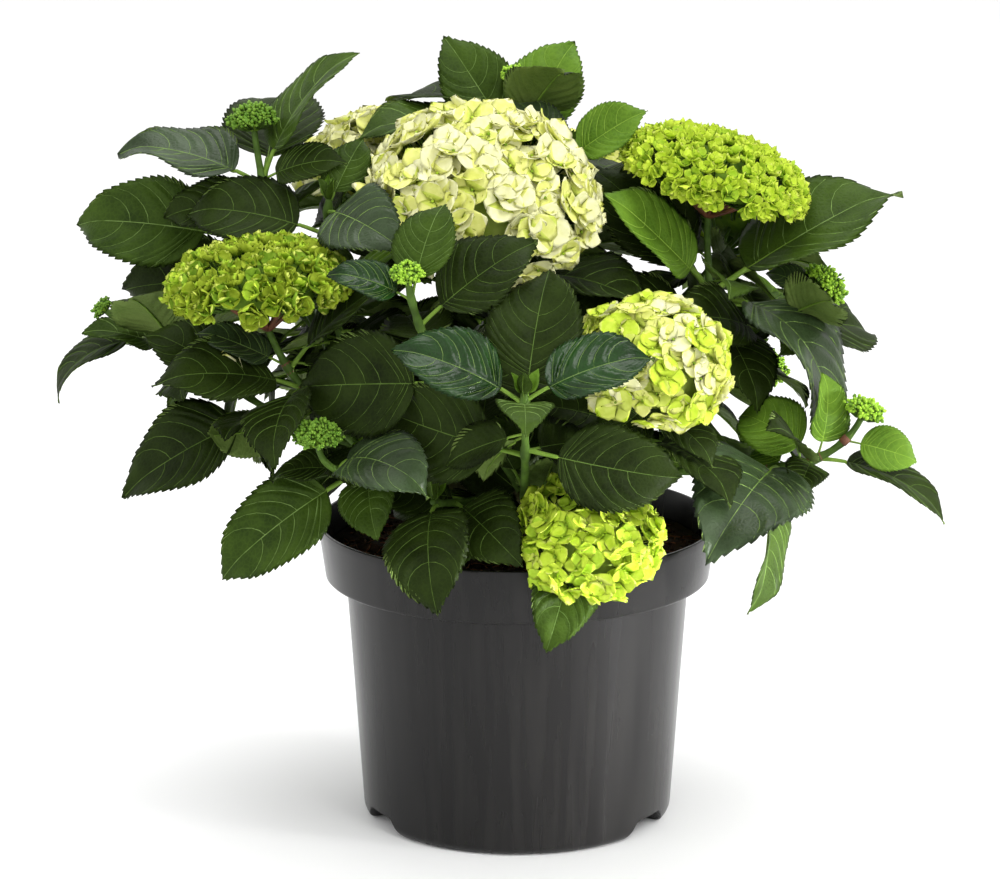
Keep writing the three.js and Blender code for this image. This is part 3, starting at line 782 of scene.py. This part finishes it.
def base_of(margin):
    """Where the line that reaches the margin there leaves the midrib."""
    return np.interp(margin, swept(FINE_BASES, 1.0), FINE_BASES)


def margin_at(tooth):
    return lerp(*TOOTHED, tooth / TEETH)


VEINS = base_of(margin_at(2.2 * np.arange(VEIN_COUNT) + 0.84))
TOOTH_STEPS = {
    "fine": ((0, 0), (0.22, 0.35), (0.44, 0.66), (0.66, 0.9), (0.84, 1.0), (0.93, 0.5)),
    "plain": ((0, 0), (0.42, 0.62), (0.84, 1.0)),
    "coarse": ((0, 0), (0.84, 1.0)),
}


def blade_rows(steps):
    """Where each row of points leaves the midrib, and how far the tooth is out at its end."""
    rows = [(0.006, 0), (0.03, 0), (0.05, 0)]
    for tooth in range(TEETH):
        rows += [(margin_at(tooth + at), out) for at, out in steps]
    rows += [(TOOTHED[1], 0), (0.985, 0), (1.0, 0)]
    margin, out = np.array(rows).T
    return base_of(margin), out


def vein_phase(base, veins):
    """A number that grows by one from each side vein to the next."""
    marks = np.concatenate(((-0.05,), veins, (1.0,)))
    return np.interp(base, marks, np.arange(len(marks)) - 1)


class Blade:
    """The finer shape of one leaf: where any point of its blade lies."""

    def __init__(self, leaf):
        draw = random_from(leaf.seed + SEEDS.blade)
        self.leaf = leaf
        self.pucker = {"p": 1.6, "b": 1.1, "y": 1.1}.get(leaf.tint, 1.0) * leaf.length / 100
        self.fold = {"b": 0.3, "y": 0.3}.get(leaf.tint, 0.16 + 0.1 * draw())
        self.curl = (4 + 6 * draw()) * leaf.length / 100
        self.twist = math.radians(26 * (draw() - 0.5))
        self.wave = (1.4 + 2.2 * draw()) * leaf.length / 100
        self.phase = draw() * TURN
        self.sway = (draw() - 0.5) * 0.06 * leaf.length
        uneven = np.array([[draw() - 0.5 for _ in VEINS] for _ in SIDES])
        self.veins = VEINS + uneven * 0.036 + np.array(SIDES)[:, None] * 0.014

    def at(self, base, v, tooth=0.0, lift=0.0):
        """Points v across, from -1 to 1, on the lines that leave the midrib at base."""
        leaf = self.leaf
        u = np.clip(swept(base, np.abs(v)) + tooth * 0.012, 0, 1)
        share = LEAF.stalk + (1 - LEAF.stalk) * u
        point, _, normal = leaf.rib(share.ravel())
        point, normal = point.reshape(*u.shape, 3), normal.reshape(*u.shape, 3)
        side = np.abs(v)
        half = leaf.half * blade_width(u)
        out = v * (half + tooth * leaf.half * 0.06 * smooth(0.04, 0.2, u))
        angle = self.twist * u * u
        rise = half * (self.fold * side ** 1.15 - 0.05 * side ** 3)
        phase = np.where(v < 0, vein_phase(base, self.veins[0]), vein_phase(base, self.veins[1]))
        between = np.sin(math.pi * phase) ** 2
        edge = 1 - smooth(0.75, 1.0, side)
        rise = rise + self.pucker * (between - 0.4) * smooth(0.02, 0.3, side) * (0.35 + 0.65 * edge)
        rise = rise - 0.7 * self.pucker * np.exp(-((side / 0.07) ** 2)) * (1 - u)
        if leaf.tint == "p":
            rise = rise + 0.55 * between * np.cos(side * 34 + 3 * phase) * edge * smooth(0.06, 0.2, side)
        rise = rise + self.wave * side ** 2 * np.sin(9 * u + self.phase + 1.4 * np.sign(v))
        rise = rise - self.curl * smooth(0.72, 1.15, u) + lift
        across = leaf.across * np.cos(angle)[..., None] + normal * np.sin(angle)[..., None]
        upward = normal * np.cos(angle)[..., None] - leaf.across * np.sin(angle)[..., None]
        bow = self.sway * u * u
        return point + across * (out + bow)[..., None] + upward * rise[..., None]


def add_blade(blade, batch, kind, under_kind, detail="plain"):
    columns = {"plain": COLUMNS, "fine": FINE_COLUMNS, "coarse": COARSE_COLUMNS}[detail]
    base_row, tooth_row = blade_rows(TOOTH_STEPS[detail])
    v_row = np.concatenate((-columns[:0:-1], columns))
    base, v = np.meshgrid(base_row, v_row, indexing="ij")
    margin = (np.abs(v) == 1) * tooth_row[:, None]
    top = blade.at(base, v, margin)
    under = blade.at(base, v, margin, -0.5 * (1 - 0.4 * np.abs(v)))
    sheet(batch, top, under, kind, under_kind)


def add_ridge(batch, blade, base, v, widths, height, below=False):
    """A low ridge on the blade along a line on it: a vein."""
    sign, face = (-1, -0.5) if below else (1, 0)
    middle = blade.at(base, v, lift=face + sign * height)
    floor = blade.at(base, v, lift=face - sign * 0.3)
    along = unit(np.gradient(middle, axis=0))
    side = unit(np.cross(along, middle - floor)) * widths[:, None] / 2
    points = np.stack((floor - side, middle, floor + side), axis=1).reshape(-1, 3)
    shut = np.array([[3 * i, 3 * i + 3, 3 * i + 5, 3 * i + 2] for i in range(len(v) - 1)])
    n = 3 * (len(v) - 1)
    ends = np.array([[0, 2, 1, 1], [n, n + 1, n + 2, n + 2]])
    batch.add(points, np.concatenate((grid_quads(len(v), 3), shut, ends)))


def add_veins(batch, blade, below=False):
    """The midrib, and the side veins on all but the inner leaves."""
    size = blade.leaf.length / 100
    along = np.linspace(0.0, 0.97, 12)
    add_ridge(batch, blade, along, along * 0, lerp(1.7, 0.5, along) * size, 0.35, below)
    v = np.linspace(0.0, 0.93, 6)
    for side, veins in zip(SIDES, () if blade.leaf.inner else blade.veins):
        for base in veins:
            widths = lerp(0.85, 0.3, v) * size
            add_ridge(batch, blade, np.full(len(v), base), side * v, widths, 0.3, below)


def add_stalk(batch, blade):
    """The leaf stalk, which runs on under the blade as its midrib."""
    leaf = blade.leaf
    size = leaf.length / 100
    free = np.linspace(0.0, 0.19, 6)
    point, _, normal = leaf.rib(free)
    under = np.linspace(0.01, 0.86, 9)
    rib = blade.at(under, under * 0, lift=-0.9)
    path = np.concatenate((point - normal * 0.4, rib))
    shares = np.linspace(0, 1, len(path))
    radii = np.interp(shares, (0, 0.08, 0.34, 0.42, 1), (2.3, 1.6, 1.35, 1.2, 0.35)) * size
    tube(batch, path, radii, sides=5)


leaves = [leaf for _, leaves in shoots.values() for leaf in leaves] + grow_inner_leaves()
FULL = 180000  # the triangles that fill a joined piece
stalks = Batch()
vein_batches = {vein: Batch() for vein in VEIN_LOOKS}


def made_leaves(tint, first_nodes):
    """The joined pieces of one tint, each closed once it is full."""
    batch, part = Batch(), 1
    blades = [Blade(leaf) for leaf in leaves if leaf.tint == tint]
    for blade in blades:
        add_blade(blade, batch, 0, 1, "coarse" if blade.leaf.inner else "fine" if tint == "p" else "plain")
        vein = vein_batches[VEIN_TINTS[tint]]
        add_veins(vein, blade)
        if tint in "gy" and not blade.leaf.inner:
            add_veins(vein, blade, below=True)
        add_stalk(stalks, blade)
        if batch.triangles() > FULL or blade is blades[-1]:
            name = LEAF_LOOKS[tint].name.replace("leaf", "leaves")
            batch.piece(f"{name}_{part}", [LEAF_LOOKS[tint], UNDERSIDE], "leaf_and_flower", first_nodes)
            batch, part, first_nodes = Batch(), part + 1, ()


for tint in dict.fromkeys(leaf.tint for leaf in leaves):
    made_leaves(tint, ["shoot_" + name for name in SHOOTS] if tint == "d" else ())
for vein, batch in vein_batches.items():
    batch.piece("veins_" + vein, [VEIN_LOOKS[vein]], "leaf_and_flower")
stalks.piece("leaf_stalks", [STALK], "green_stem")

# ---- limbs and stems


def add_stem(batch, curve, radii, joints, sides, seed, steps=40):
    """A living stem: round, a little uneven, and swollen where leaves stand."""
    shares = np.linspace(0, 1, steps)
    draw = random_from(seed)
    swelling = sum(0.8 * np.exp(-(((shares - joint) / 0.03) ** 2)) for joint in joints)
    uneven = 1 + 0.03 * np.sin(shares * 40 + draw() * 6)
    tube(batch, curve.at(shares), (lerp(*radii, shares) + swelling) * uneven, sides)


LIMB_JOINTS = (0.35, 0.7, 1.0)  # shares along a limb where it swells
bark, stems = Batch(), Batch()
for i, curve in enumerate(limbs.values()):
    add_stem(bark, curve, (LIMB.foot_radius, LIMB.tip_radius), LIMB_JOINTS, 14, SEEDS.limb + i)
bark.piece("limb_bark", [GREEN_BARK], "woody_stem", ["limb_" + name for name in LIMBS])

for i, (name, (stem, own_leaves)) in enumerate(shoots.items()):
    joints = sorted({leaf.share for leaf in own_leaves})
    radii = (STEM.foot_radius, STEM.tip_radius)
    add_stem(stems, stem, radii, joints, 10, SEEDS.stem + i)
    for joint in joints if name in RED_JOINTED else ():
        ring = stem.at(np.clip(np.array((joint - 0.015, joint, joint + 0.015)), 0, 1))
        tube(stems, ring, lerp(*radii, joint) + 0.9, 10, 1)
stems.piece("shoot_stems", [GREEN_STEM, RED_NODE], "green_stem")


def add_crown():
    """The woody stool at the foot of the limbs, knobbly and cracked."""
    foot = SOIL.level + SOIL.dome + GAP
    h, a = np.meshgrid((0, 0.15, 0.4, 0.7, 0.9, 1.0), around(48), indexing="ij")
    taper = np.array((1.0, 1.0, 0.92, 0.8, 0.72, 0.6))[:, None]
    knobs = 0.06 * (0.5 + 0.5 * np.sin(5 * a + 3 * h)) + 0.03 * np.sin(13 * a + 2)
    rings = np.stack((*polar(taper * CROWN.radius * (1 - knobs), a), foot + h * CROWN.height), -1)
    batch = Batch()
    closed(batch, rings, (0, 0, foot), (0, 0, foot + CROWN.height))
    batch.piece("crown_wood", [BROWN_BARK], "woody_stem", ["crown"])


add_crown()

# ---- flower heads


def ball_points(count, lowest, seed):
    """Directions spread evenly over a ball down to a height, each a little astray."""
    draw = random_from(seed)
    turn = math.pi * (3 - math.sqrt(5))
    made = []
    for i in range(count):
        z = 1 - (i + 0.5) / count * (1 - lowest)
        z = min(z + 0.04 * (draw() - 0.5), 0.999)
        angle = i * turn + 0.5 * (draw() - 0.5)
        flat = math.sqrt(1 - z * z)
        made.append((flat * math.cos(angle), flat * math.sin(angle), z))
    return np.array(made)


SEPAL_ROWS = np.array((0.0, 0.28, 0.6, 0.84, 1.0))
SEPAL_COLUMNS = np.array((-1, -0.55, 0, 0.55, 1))


def add_sepal(batch, turn, size, cup, look, kinds, draw, base):
    """One sepal, growing out from the floret's middle at an angle, cupped upwards."""
    t, c = np.meshgrid(SEPAL_ROWS, SEPAL_COLUMNS, indexing="ij")
    wide = 0.5 * look.wide * (np.sin(math.pi * np.clip(0.08 + 0.9 * t, 0, 1) ** 0.85)) ** 0.72
    wide = wide * (1 - 0.5 * look.point * smooth(0.6, 1.0, t)) + 0.03
    x = 0.04 + t * (1 + 0.06 * look.point) * np.cos(cup * t * 1.1)
    y = c * wide
    ripple = 0.035 * np.sin(9 * c + draw() * 6) * t + 0.04 * (draw() - 0.5)
    z = t * np.sin(cup * t * 1.1) + 0.32 * y * y * (1 + cup) + ripple - 0.04 * np.exp(-((c / 0.3) ** 2)) * t
    z = z + base
    top = np.stack((*turned(x, y, turn), z), -1) * size
    under = top.copy()
    under[..., 2] -= 0.035 * size
    sheet(batch, top, under, np.repeat(kinds, len(SEPAL_COLUMNS) - 1))


# A flower's look: sepal length, its width, how far it cups, how pointed it is, how far the florets lean,
# their spacing as a share of the sepal, and mixes of three letters in PETALS, from the middle out.
Floret = namedtuple("Floret", "size wide cup point tilt spacing mixes")
FLORETS = {
    "cream": Floret(13.5, 1.22, 0.34, 0.55, 32, 0.98, "pbc bcc pcb bcc pbp bbc"),
    "pale": Floret(11, 1.2, 0.26, 0.5, 34, 1.06, "pbp ccb ppl llp bcp pbb"),
    "openlime": Floret(9.8, 1.12, 0.3, 0.75, 40, 1.04, "dlp llp dll pll odl ddp"),
    "lime": Floret(7.4, 0.98, 0.8, 1.0, 40, 1.0, "dll llp dll gdl"),
    "limecup": Floret(9, 1.18, 0.7, 0.5, 36, 1.0, "odp dll oop dlp odb"),
    "olive": Floret(9, 1.15, 0.85, 0.45, 36, 1.0, "god goo ggp ood gop ddl"),
}


def floret_templates(look, seed, variants=10):
    """A few different florets, each as points, faces and their petal colours."""
    made = []
    mixes = look.mixes.split()
    for i in range(variants):
        draw = random_from(seed + i)
        batch = Batch()
        inner, middle, outer = (PETAL_KINDS[letter] for letter in mixes[i % len(mixes)])
        for s in range(4):
            turn = s * math.pi / 2 + 0.25 * (draw() - 0.5)
            size = 0.86 + 0.22 * draw()
            cup = look.cup * (0.75 + 0.5 * draw())
            add_sepal(batch, turn, size, cup, look, (inner, middle, middle, outer), draw, 0.05 * (s % 2))
        points, faces = BEAD
        batch.add(points * 0.085 + (0, 0, 0.07), faces, PETAL_KINDS["g" if i % 3 else "d"])
        made.append((np.concatenate(batch.points), np.concatenate(batch.quads), np.concatenate(batch.kinds)))
    return made


def head_surface(where, radius, shape):
    """Points and outward normals on a head's dome, in its own frame."""
    scale = np.where(where[:, 2:] > 0, np.array((1, 1, shape.up)), np.array((1, 1, shape.down)))
    return where * scale * radius, unit(where / scale)


def add_thread(ends, bow, radii, sides, kind=0, steps=3):
    """A stalk in a flower head, bowed towards one side."""
    root, end = ends
    tube(threads, Curve(root, bow, end).at(np.linspace(0, 1, steps)), np.linspace(*radii, steps), sides, kind)


def add_head(shoot, blossom):
    """A dome of four-sepalled florets on branching stalks."""
    shape, look, radius = HEAD[shoot.head], FLORETS[shoot.look], shoot.radius
    draw = random_from(shoot.seed + SEEDS.head)
    axes = axes_of(shoot)
    sepal = look.size * (1 if radius > SMALL_HEAD else 0.9)
    spread = radius - 0.35 * sepal
    area = 2 * math.pi * spread ** 2 * (0.62 + 0.38 * shape.up)
    count = max(int(1.15 * area / (sepal * look.spacing) ** 2), 7)
    templates = floret_templates(look, shoot.seed + SEEDS.floret)
    points, normals = head_surface(ball_points(count, shape.lowest, shoot.seed), spread, shape)
    for i, (point, normal) in enumerate(zip(points, normals)):
        tilt = np.array((draw() - 0.5, draw() - 0.5, draw() - 0.5)) * math.radians(look.tilt) * 2
        towards = unit(normal + tilt * 0.8)
        size = sepal * (0.84 + 0.3 * draw())
        depth = 3.0 * (draw() - 0.55) * sepal / 10
        at = shoot.tip + axes @ (point + normal * depth)
        shape_points, faces, kinds = templates[i % len(templates)]
        x, y = turned(shape_points[:, 0], shape_points[:, 1], draw() * TURN)
        floret = np.stack((x, y, shape_points[:, 2]), 1) * size
        blossom.add(at + floret @ frame_towards(axes @ towards).T, faces, kinds)
        root = shoot.tip + axes @ (point * 0.45 * (1, 1, 0.2) - (0, 0, radius * 0.12))
        bow = (root + at) / 2 + axes @ np.array((0, 0, -0.06 * radius))
        add_thread((root, at - (axes @ normal) * 0.4), bow, (1.0, 0.6), 3)
    # A lumpy ball inside the head, for its dense inside, in a colour of painted shade that shows in the gaps
    # between florets; the paler one goes in heads of flatter florets.
    ball, faces = BALL
    lumpy = ball * (1 + 0.1 * np.sin(9 * ball[:, :1] + shoot.seed) * np.cos(8 * ball[:, 1:2]))
    scale = np.where(ball[:, 2:] > 0, shape.up, shape.down)
    shade_core = np.concatenate((lumpy[:, :2], lumpy[:, 2:] * scale), 1) * radius * 0.74
    shade_cores.add(shoot.tip + shade_core @ axes.T, faces, 1 if look.cup < 0.5 else 0)


def add_branches(shoot, stem, kind):
    """The stout stalks that carry a head, fanning out from below it."""
    axes = axes_of(shoot)
    root = stem.at(0.8)
    for i, angle in enumerate(around(12)):
        x, y = polar(shoot.radius * (0.62 if i % 2 else 0.38), angle)
        end = shoot.tip + axes @ np.array((x, y, -0.04 * shoot.radius))
        bow = lerp(root, end, 0.45) - axes @ np.array((0, 0, 0.02 * shoot.radius))
        add_thread((root, end), bow, (1.7, 1.1), 6, kind, steps=8)


def add_bud(shoot):
    """A tight head of unopened buds, each a bead on its own thread."""
    draw = random_from(shoot.seed + SEEDS.bud)
    axes = axes_of(shoot)
    shape, radius = HEAD["bud"], shoot.radius
    bead = 1.0 if radius > 12 else 0.85
    count = int(3.4 * math.pi * radius ** 2 / (bead * 2.3) ** 2)
    where = ball_points(count, shape.lowest, shoot.seed)
    points, normals = head_surface(where, radius - bead, shape)
    lumpy = 0.88 + 0.16 * np.sin(6 * where[:, 0] + shoot.seed) * np.cos(7 * where[:, 1] - 4 * where[:, 2])
    ball, faces = BEAD
    lobed = ball * (1 + 0.12 * np.cos(4 * np.arctan2(ball[:, 1:2], ball[:, :1]))) * (1, 1, 1.15)
    for point, normal in zip(points * lumpy[:, None], normals):
        size = bead * (0.6 + 0.9 * draw())
        at = shoot.tip + axes @ (point + normal * 3.6 * (draw() - 0.7))
        bright = shoot.look == "bright" and draw() > 0.25
        beads.add(at + (lobed * size) @ frame_towards(axes @ normal).T, faces, 1 if bright else 0)
        root = shoot.tip + axes @ (point * 0.4 - (0, 0, radius * 0.3))
        tube(threads, np.stack((root, at)), 0.5, 3)
    # A ball inside the bud head, in a colour of painted shade that shows in the gaps between the buds.
    ball, faces = BALL
    shade_cores.add(shoot.tip + ball * (1, 1, shape.up) * radius * 0.62 @ axes.T, faces)


def add_tuft(shoot):
    """Young leaves, still folded, in the tip of a shoot that ends in a tuft."""
    draw = random_from(shoot.seed + SEEDS.tuft)
    heading, rise = shoot.facing
    for i in range(6):
        foot = shoot.tip - direction(heading, rise) * (5 - 0.5 * i)
        leaf = Leaf(foot, heading + i * 137, 50 + 4 * i, 22 - 2 * i, 0.42, -26, 10 * (draw() - 0.5))
        leaf.tint, leaf.seed = "b", shoot.seed * 10 + i
        blade = Blade(leaf)
        blade.fold = 0.7
        add_blade(blade, young, 0, 1, "coarse")
        add_stalk(young_stalks, blade)


SMALL_HEAD = 20  # a head of this radius or less has smaller florets and no branches
shade_cores, threads, beads, young, young_stalks = (Batch() for _ in range(5))
for name, shoot in SHOOTS.items():
    if shoot.head == "bud":
        add_bud(shoot)
    elif shoot.head == "tuft":
        add_tuft(shoot)
    else:
        blossom = Batch()
        add_head(shoot, blossom)
        if shoot.radius > SMALL_HEAD:
            add_branches(shoot, shoots[name][0], 1 if name in RED_JOINTED else 0)
        blossom.piece("blossom_" + name, list(PETALS.values()), "leaf_and_flower")
shade_cores.piece("flower_shade_cores", [SHADE_CORE, PALE_SHADE_CORE], "leaf_and_flower")
threads.piece("flower_stalks", [GREEN_STEM, RED_NODE], "green_stem")
beads.piece("flower_buds", [BEADS["green"], BEADS["bright"]], "leaf_and_flower")
young.piece("young_leaves", [LEAF_LOOKS["b"], LEAF_LOOKS["m"]], "leaf_and_flower")
young_stalks.piece("young_stalks", [STALK], "green_stem")

# ---- pot and soil


def pot_profile():
    """Radii and heights round the pot's wall, with rounded edges, outside from the middle up and back."""
    p = POT
    foot = p.height - p.band_height
    ring = p.foot_radius - p.foot_width
    outside = [(0, 0), (p.pad_radius, 0), (p.pad_radius + 2, p.foot_height), (ring - 2, p.foot_height),
               (ring, 0), (p.foot_radius - p.corner, 0)]
    for i in range(1, 6):
        a = i / 6 * math.pi / 2
        outside.append((p.foot_radius - p.corner * (1 - math.sin(a)), p.corner * (1 - math.cos(a))))
    for i in range(13):
        outside.append((lerp(p.foot_radius, p.wall_top_radius, i / 12), lerp(p.corner, foot, i / 12)))
    band = p.band_foot_radius
    outside += [(p.wall_top_radius + 1.2, foot + 0.2), (band - 2.2, foot), (band - 1, foot + 0.3),
                (band - 0.2, foot + 1.1), (band, foot + 2.4)]
    rim = p.rim_radius
    outside += [(lerp(band, rim - 0.6, i / 8), lerp(foot + 2.4, p.height - 1.6, i / 8)) for i in range(1, 9)]
    outside += [(rim - 0.75, p.height - 0.5), (rim - 1.3, p.height)]
    inside = [(rim - p.wall - 0.2, p.height - 0.1), (rim - p.wall - 0.5, p.height - 0.9),
              (band - p.wall, foot + p.wall), (p.wall_top_radius - p.wall, foot + p.wall - 0.4),
              (p.foot_radius - p.wall - 1, p.foot_height + p.wall), (0, p.foot_height + p.wall)]
    return outside + inside


def notch_cutter():
    """The three slots in the foot ring, as one cutting body."""
    p = POT
    clear = p.foot_width * 0.4
    foot, head = p.notch_width / 2, p.notch_width / 2 * p.notch_taper
    top = p.foot_height - p.edge / 2
    half = [(foot, -p.edge), (foot - 1, 0.6), (foot - 2.6, 2.4),
            (head + 3.2, top - 3.6), (head + 1.2, top - 1.2), (head - 2, top)]
    x, z = np.array([(-x, z) for x, z in half] + half[::-1]).T
    depths = (p.foot_radius - p.foot_width - clear, p.foot_radius + clear)
    batch = Batch()
    for heading in p.notches:
        rings = [np.stack((*turned(x, -depth, math.radians(heading)), z), -1) for depth in depths]
        closed(batch, np.array(rings), *(ring.mean(axis=0) for ring in rings), clockwise=True)
    return added("notches", batch.mesh("notches"))


def cut(piece, cutter):
    """Cuts one object out of another and leaves plain mesh."""
    tool = piece.modifiers.new("cut", "BOOLEAN")
    tool.operation = "DIFFERENCE"
    tool.solver = "EXACT"
    tool.object = cutter
    bpy.context.view_layer.update()
    whole = bpy.data.meshes.new_from_object(piece.evaluated_get(bpy.context.evaluated_depsgraph_get()))
    piece.modifiers.clear()
    piece.data = whole
    bpy.data.objects.remove(cutter)


POT_SIDES = 224
SHARP = math.radians(38)  # the least angle that shows as an edge on the pot


def add_pot():
    profile = np.array(pot_profile())
    radius, angle = np.meshgrid(profile[1:-1, 0], around(POT_SIDES), indexing="ij")
    height = np.broadcast_to(profile[1:-1, 1:], radius.shape)
    batch = Batch()
    rings = np.stack((*polar(radius, angle), height), -1)
    closed(batch, rings, (0, 0, profile[0, 1]), (0, 0, profile[-1, 1]))
    pot = batch.piece("pot_shell", [PLASTIC], "pot_plastic", ["pot"])
    cut(pot, notch_cutter())
    pot.data.shade_smooth()
    pot.data.set_sharp_from_angle(angle=SHARP)


LUMPS = ((60, 1.4), (27, 1.0), (13, 0.8), (7, 0.5), (4, 0.35))  # lengths and heights of waves in the peat


def lumps(x, y):
    """Height noise made of a few crossing waves."""
    draw = random_from(SEEDS.lumps)
    height = 0
    for size, deep in LUMPS:
        for _ in range(3):
            heading, phase = draw() * TURN, draw() * TURN
            along = x * math.cos(heading) + y * math.sin(heading)
            height = height + deep / 2 * np.sin(along * TURN / size + phase)
    return height


def soil_height(x, y):
    radius = np.hypot(x, y)
    dome = SOIL.dome * (1 - smooth(SOIL.flat_radius, 124, radius))
    return SOIL.level + dome - 1.2 + 0.8 * lumps(x, y) * (1 - 0.7 * smooth(108, 124, radius))


def add_soil():
    """The peat's uneven top and its side inside the pot, as rings from the middle outwards and down."""
    inset = POT.wall + GAP
    foot = POT.height - POT.band_height + inset
    low = POT.foot_height + inset
    wall = ((POT.band_foot_radius - inset - GAP, foot), (POT.wall_top_radius - inset, foot),
            (POT.foot_radius - inset - 1.4, low))
    angle = around(180)
    side = [np.stack((*polar(radius, angle), np.full(len(angle), z)), -1) for radius, z in wall]
    edge = POT.band_foot_radius - inset + POT.edge
    x, y = polar(*np.meshgrid(edge * np.linspace(0.004, 1, 56), angle, indexing="ij"))
    top = np.stack((x, y, soil_height(x, y)), -1)
    batch = Batch()
    closed(batch, np.concatenate((top, side)), (0, 0, top[0, 0, 2]), (0, 0, low), clockwise=True)
    batch.piece("potting_soil", [PEAT], "peat", ["soil"])


CRUMBS = Sizes(count=900, reach=118)
FIBRES = Sizes(count=420, reach=116, limit=121)


def add_crumbs():
    """Loose crumbs and fibres of peat on the soil."""
    draw = random_from(SEEDS.crumbs)
    crumbs, fibres = Batch(), Batch()
    ball, faces = BEAD
    for _ in range(CRUMBS.count):
        x, y = polar(CRUMBS.reach * math.sqrt(draw()), draw() * TURN)
        size = 0.7 + 2.0 * draw() ** 3
        lump = ball * (1, 0.6 + 0.6 * draw(), 0.5 + 0.4 * draw())
        lump = lump * (1 + 0.25 * np.sin(7 * ball[:, :1] + draw() * 6) * np.cos(6 * ball[:, 1:2]))
        turn = Euler((draw() * 3, draw() * 3, draw() * 3)).to_matrix()
        crumbs.add(np.array((x, y, soil_height(x, y) + 0.2 * size)) + (lump * size) @ np.array(turn).T, faces)
    for _ in range(FIBRES.count):
        x, y = polar(FIBRES.reach * math.sqrt(draw()), draw() * TURN)
        heading = draw() * TURN
        reach = 5 + 12 * draw()
        t = np.linspace(-0.5, 0.5, 7)
        bow = (draw() - 0.5) * 8
        px = x + reach * t * math.cos(heading) + bow * t * t * math.sin(heading)
        py = y + reach * t * math.sin(heading) - bow * t * t * math.cos(heading)
        keep = np.hypot(px, py) < FIBRES.limit
        if keep.sum() > 3:
            px, py, t = px[keep], py[keep], t[keep]
            pz = soil_height(px, py) + 0.5 + 3.0 * draw() * (0.25 - t * t)
            tube(fibres, np.stack((px, py, pz), 1), 0.28 + 0.25 * draw(), 4)
    crumbs.piece("soil_crumbs", [PEAT], "peat")
    fibres.piece("soil_fibres", [FIBRE], "peat")


add_pot()
add_soil()
add_crumbs()

# ---- stage, light and camera


FLOOR_REACH = 12  # metres from the plant to the floor's edge


def stage_floor():
    looks = Looks("studio_floor", 0.7, 0.2)
    looks.colour(looks.ramp(looks.noise(3, 2), 0.3, 0.9, 0.7, 0.93))
    mesh = bpy.data.meshes.new("floor")
    corners = [(x * FLOOR_REACH, y * FLOOR_REACH, 0) for x, y in ((-1, -1), (1, -1), (1, 1), (-1, 1))]
    mesh.from_pydata(corners, [], [(0, 1, 2, 3)])
    mesh.materials.append(looks.material)
    added("floor", mesh)


def soft_light(name, place, aim, size, power, spread=180):
    light = bpy.data.lights.new(name, "AREA")
    light.shape = "RECTANGLE"
    light.size, light.size_y = size
    light.energy = power
    light.spread = math.radians(spread)
    made = added(name, light)
    made.location = place
    x, y, z = np.array(aim) - np.array(place)
    made.rotation_euler = (math.pi / 2 - math.atan2(-z, math.hypot(x, y)), 0, math.atan2(-x, y))


stage_floor()
world = bpy.data.worlds.new("studio")
world.use_nodes = True
world.node_tree.nodes["Background"].inputs["Color"].default_value = (1, 1, 1, 1)
world.node_tree.nodes["Background"].inputs["Strength"].default_value = 1.08
bpy.context.scene.world = world
bpy.context.scene.view_settings.view_transform = "Standard"
soft_light("key", (1.3, -1.6, 2.2), (0, 0, 0.3), (1.2, 1.2), 31)
soft_light("fill", (-1.9, -1.2, 1.5), (0, 0, 0.3), (1.4, 1.4), 4)
soft_light("top", (0.1, 0.5, 2.6), (0, 0, 0.3), (1.6, 1.6), 26)
soft_light("side", (1.8, -0.6, 0.08), (0, 0, 0.08), (0.9, 0.16), 3, 18)

camera_data = bpy.data.cameras.new("camera")
camera_data.sensor_width = 36
camera_data.lens = 132.1
camera = added("camera", camera_data)
camera.location = (0, -2.307, 0.801)
camera.rotation_euler = (math.radians(90 - 13.46), 0, math.radians(0.28))
bpy.context.scene.camera = camera
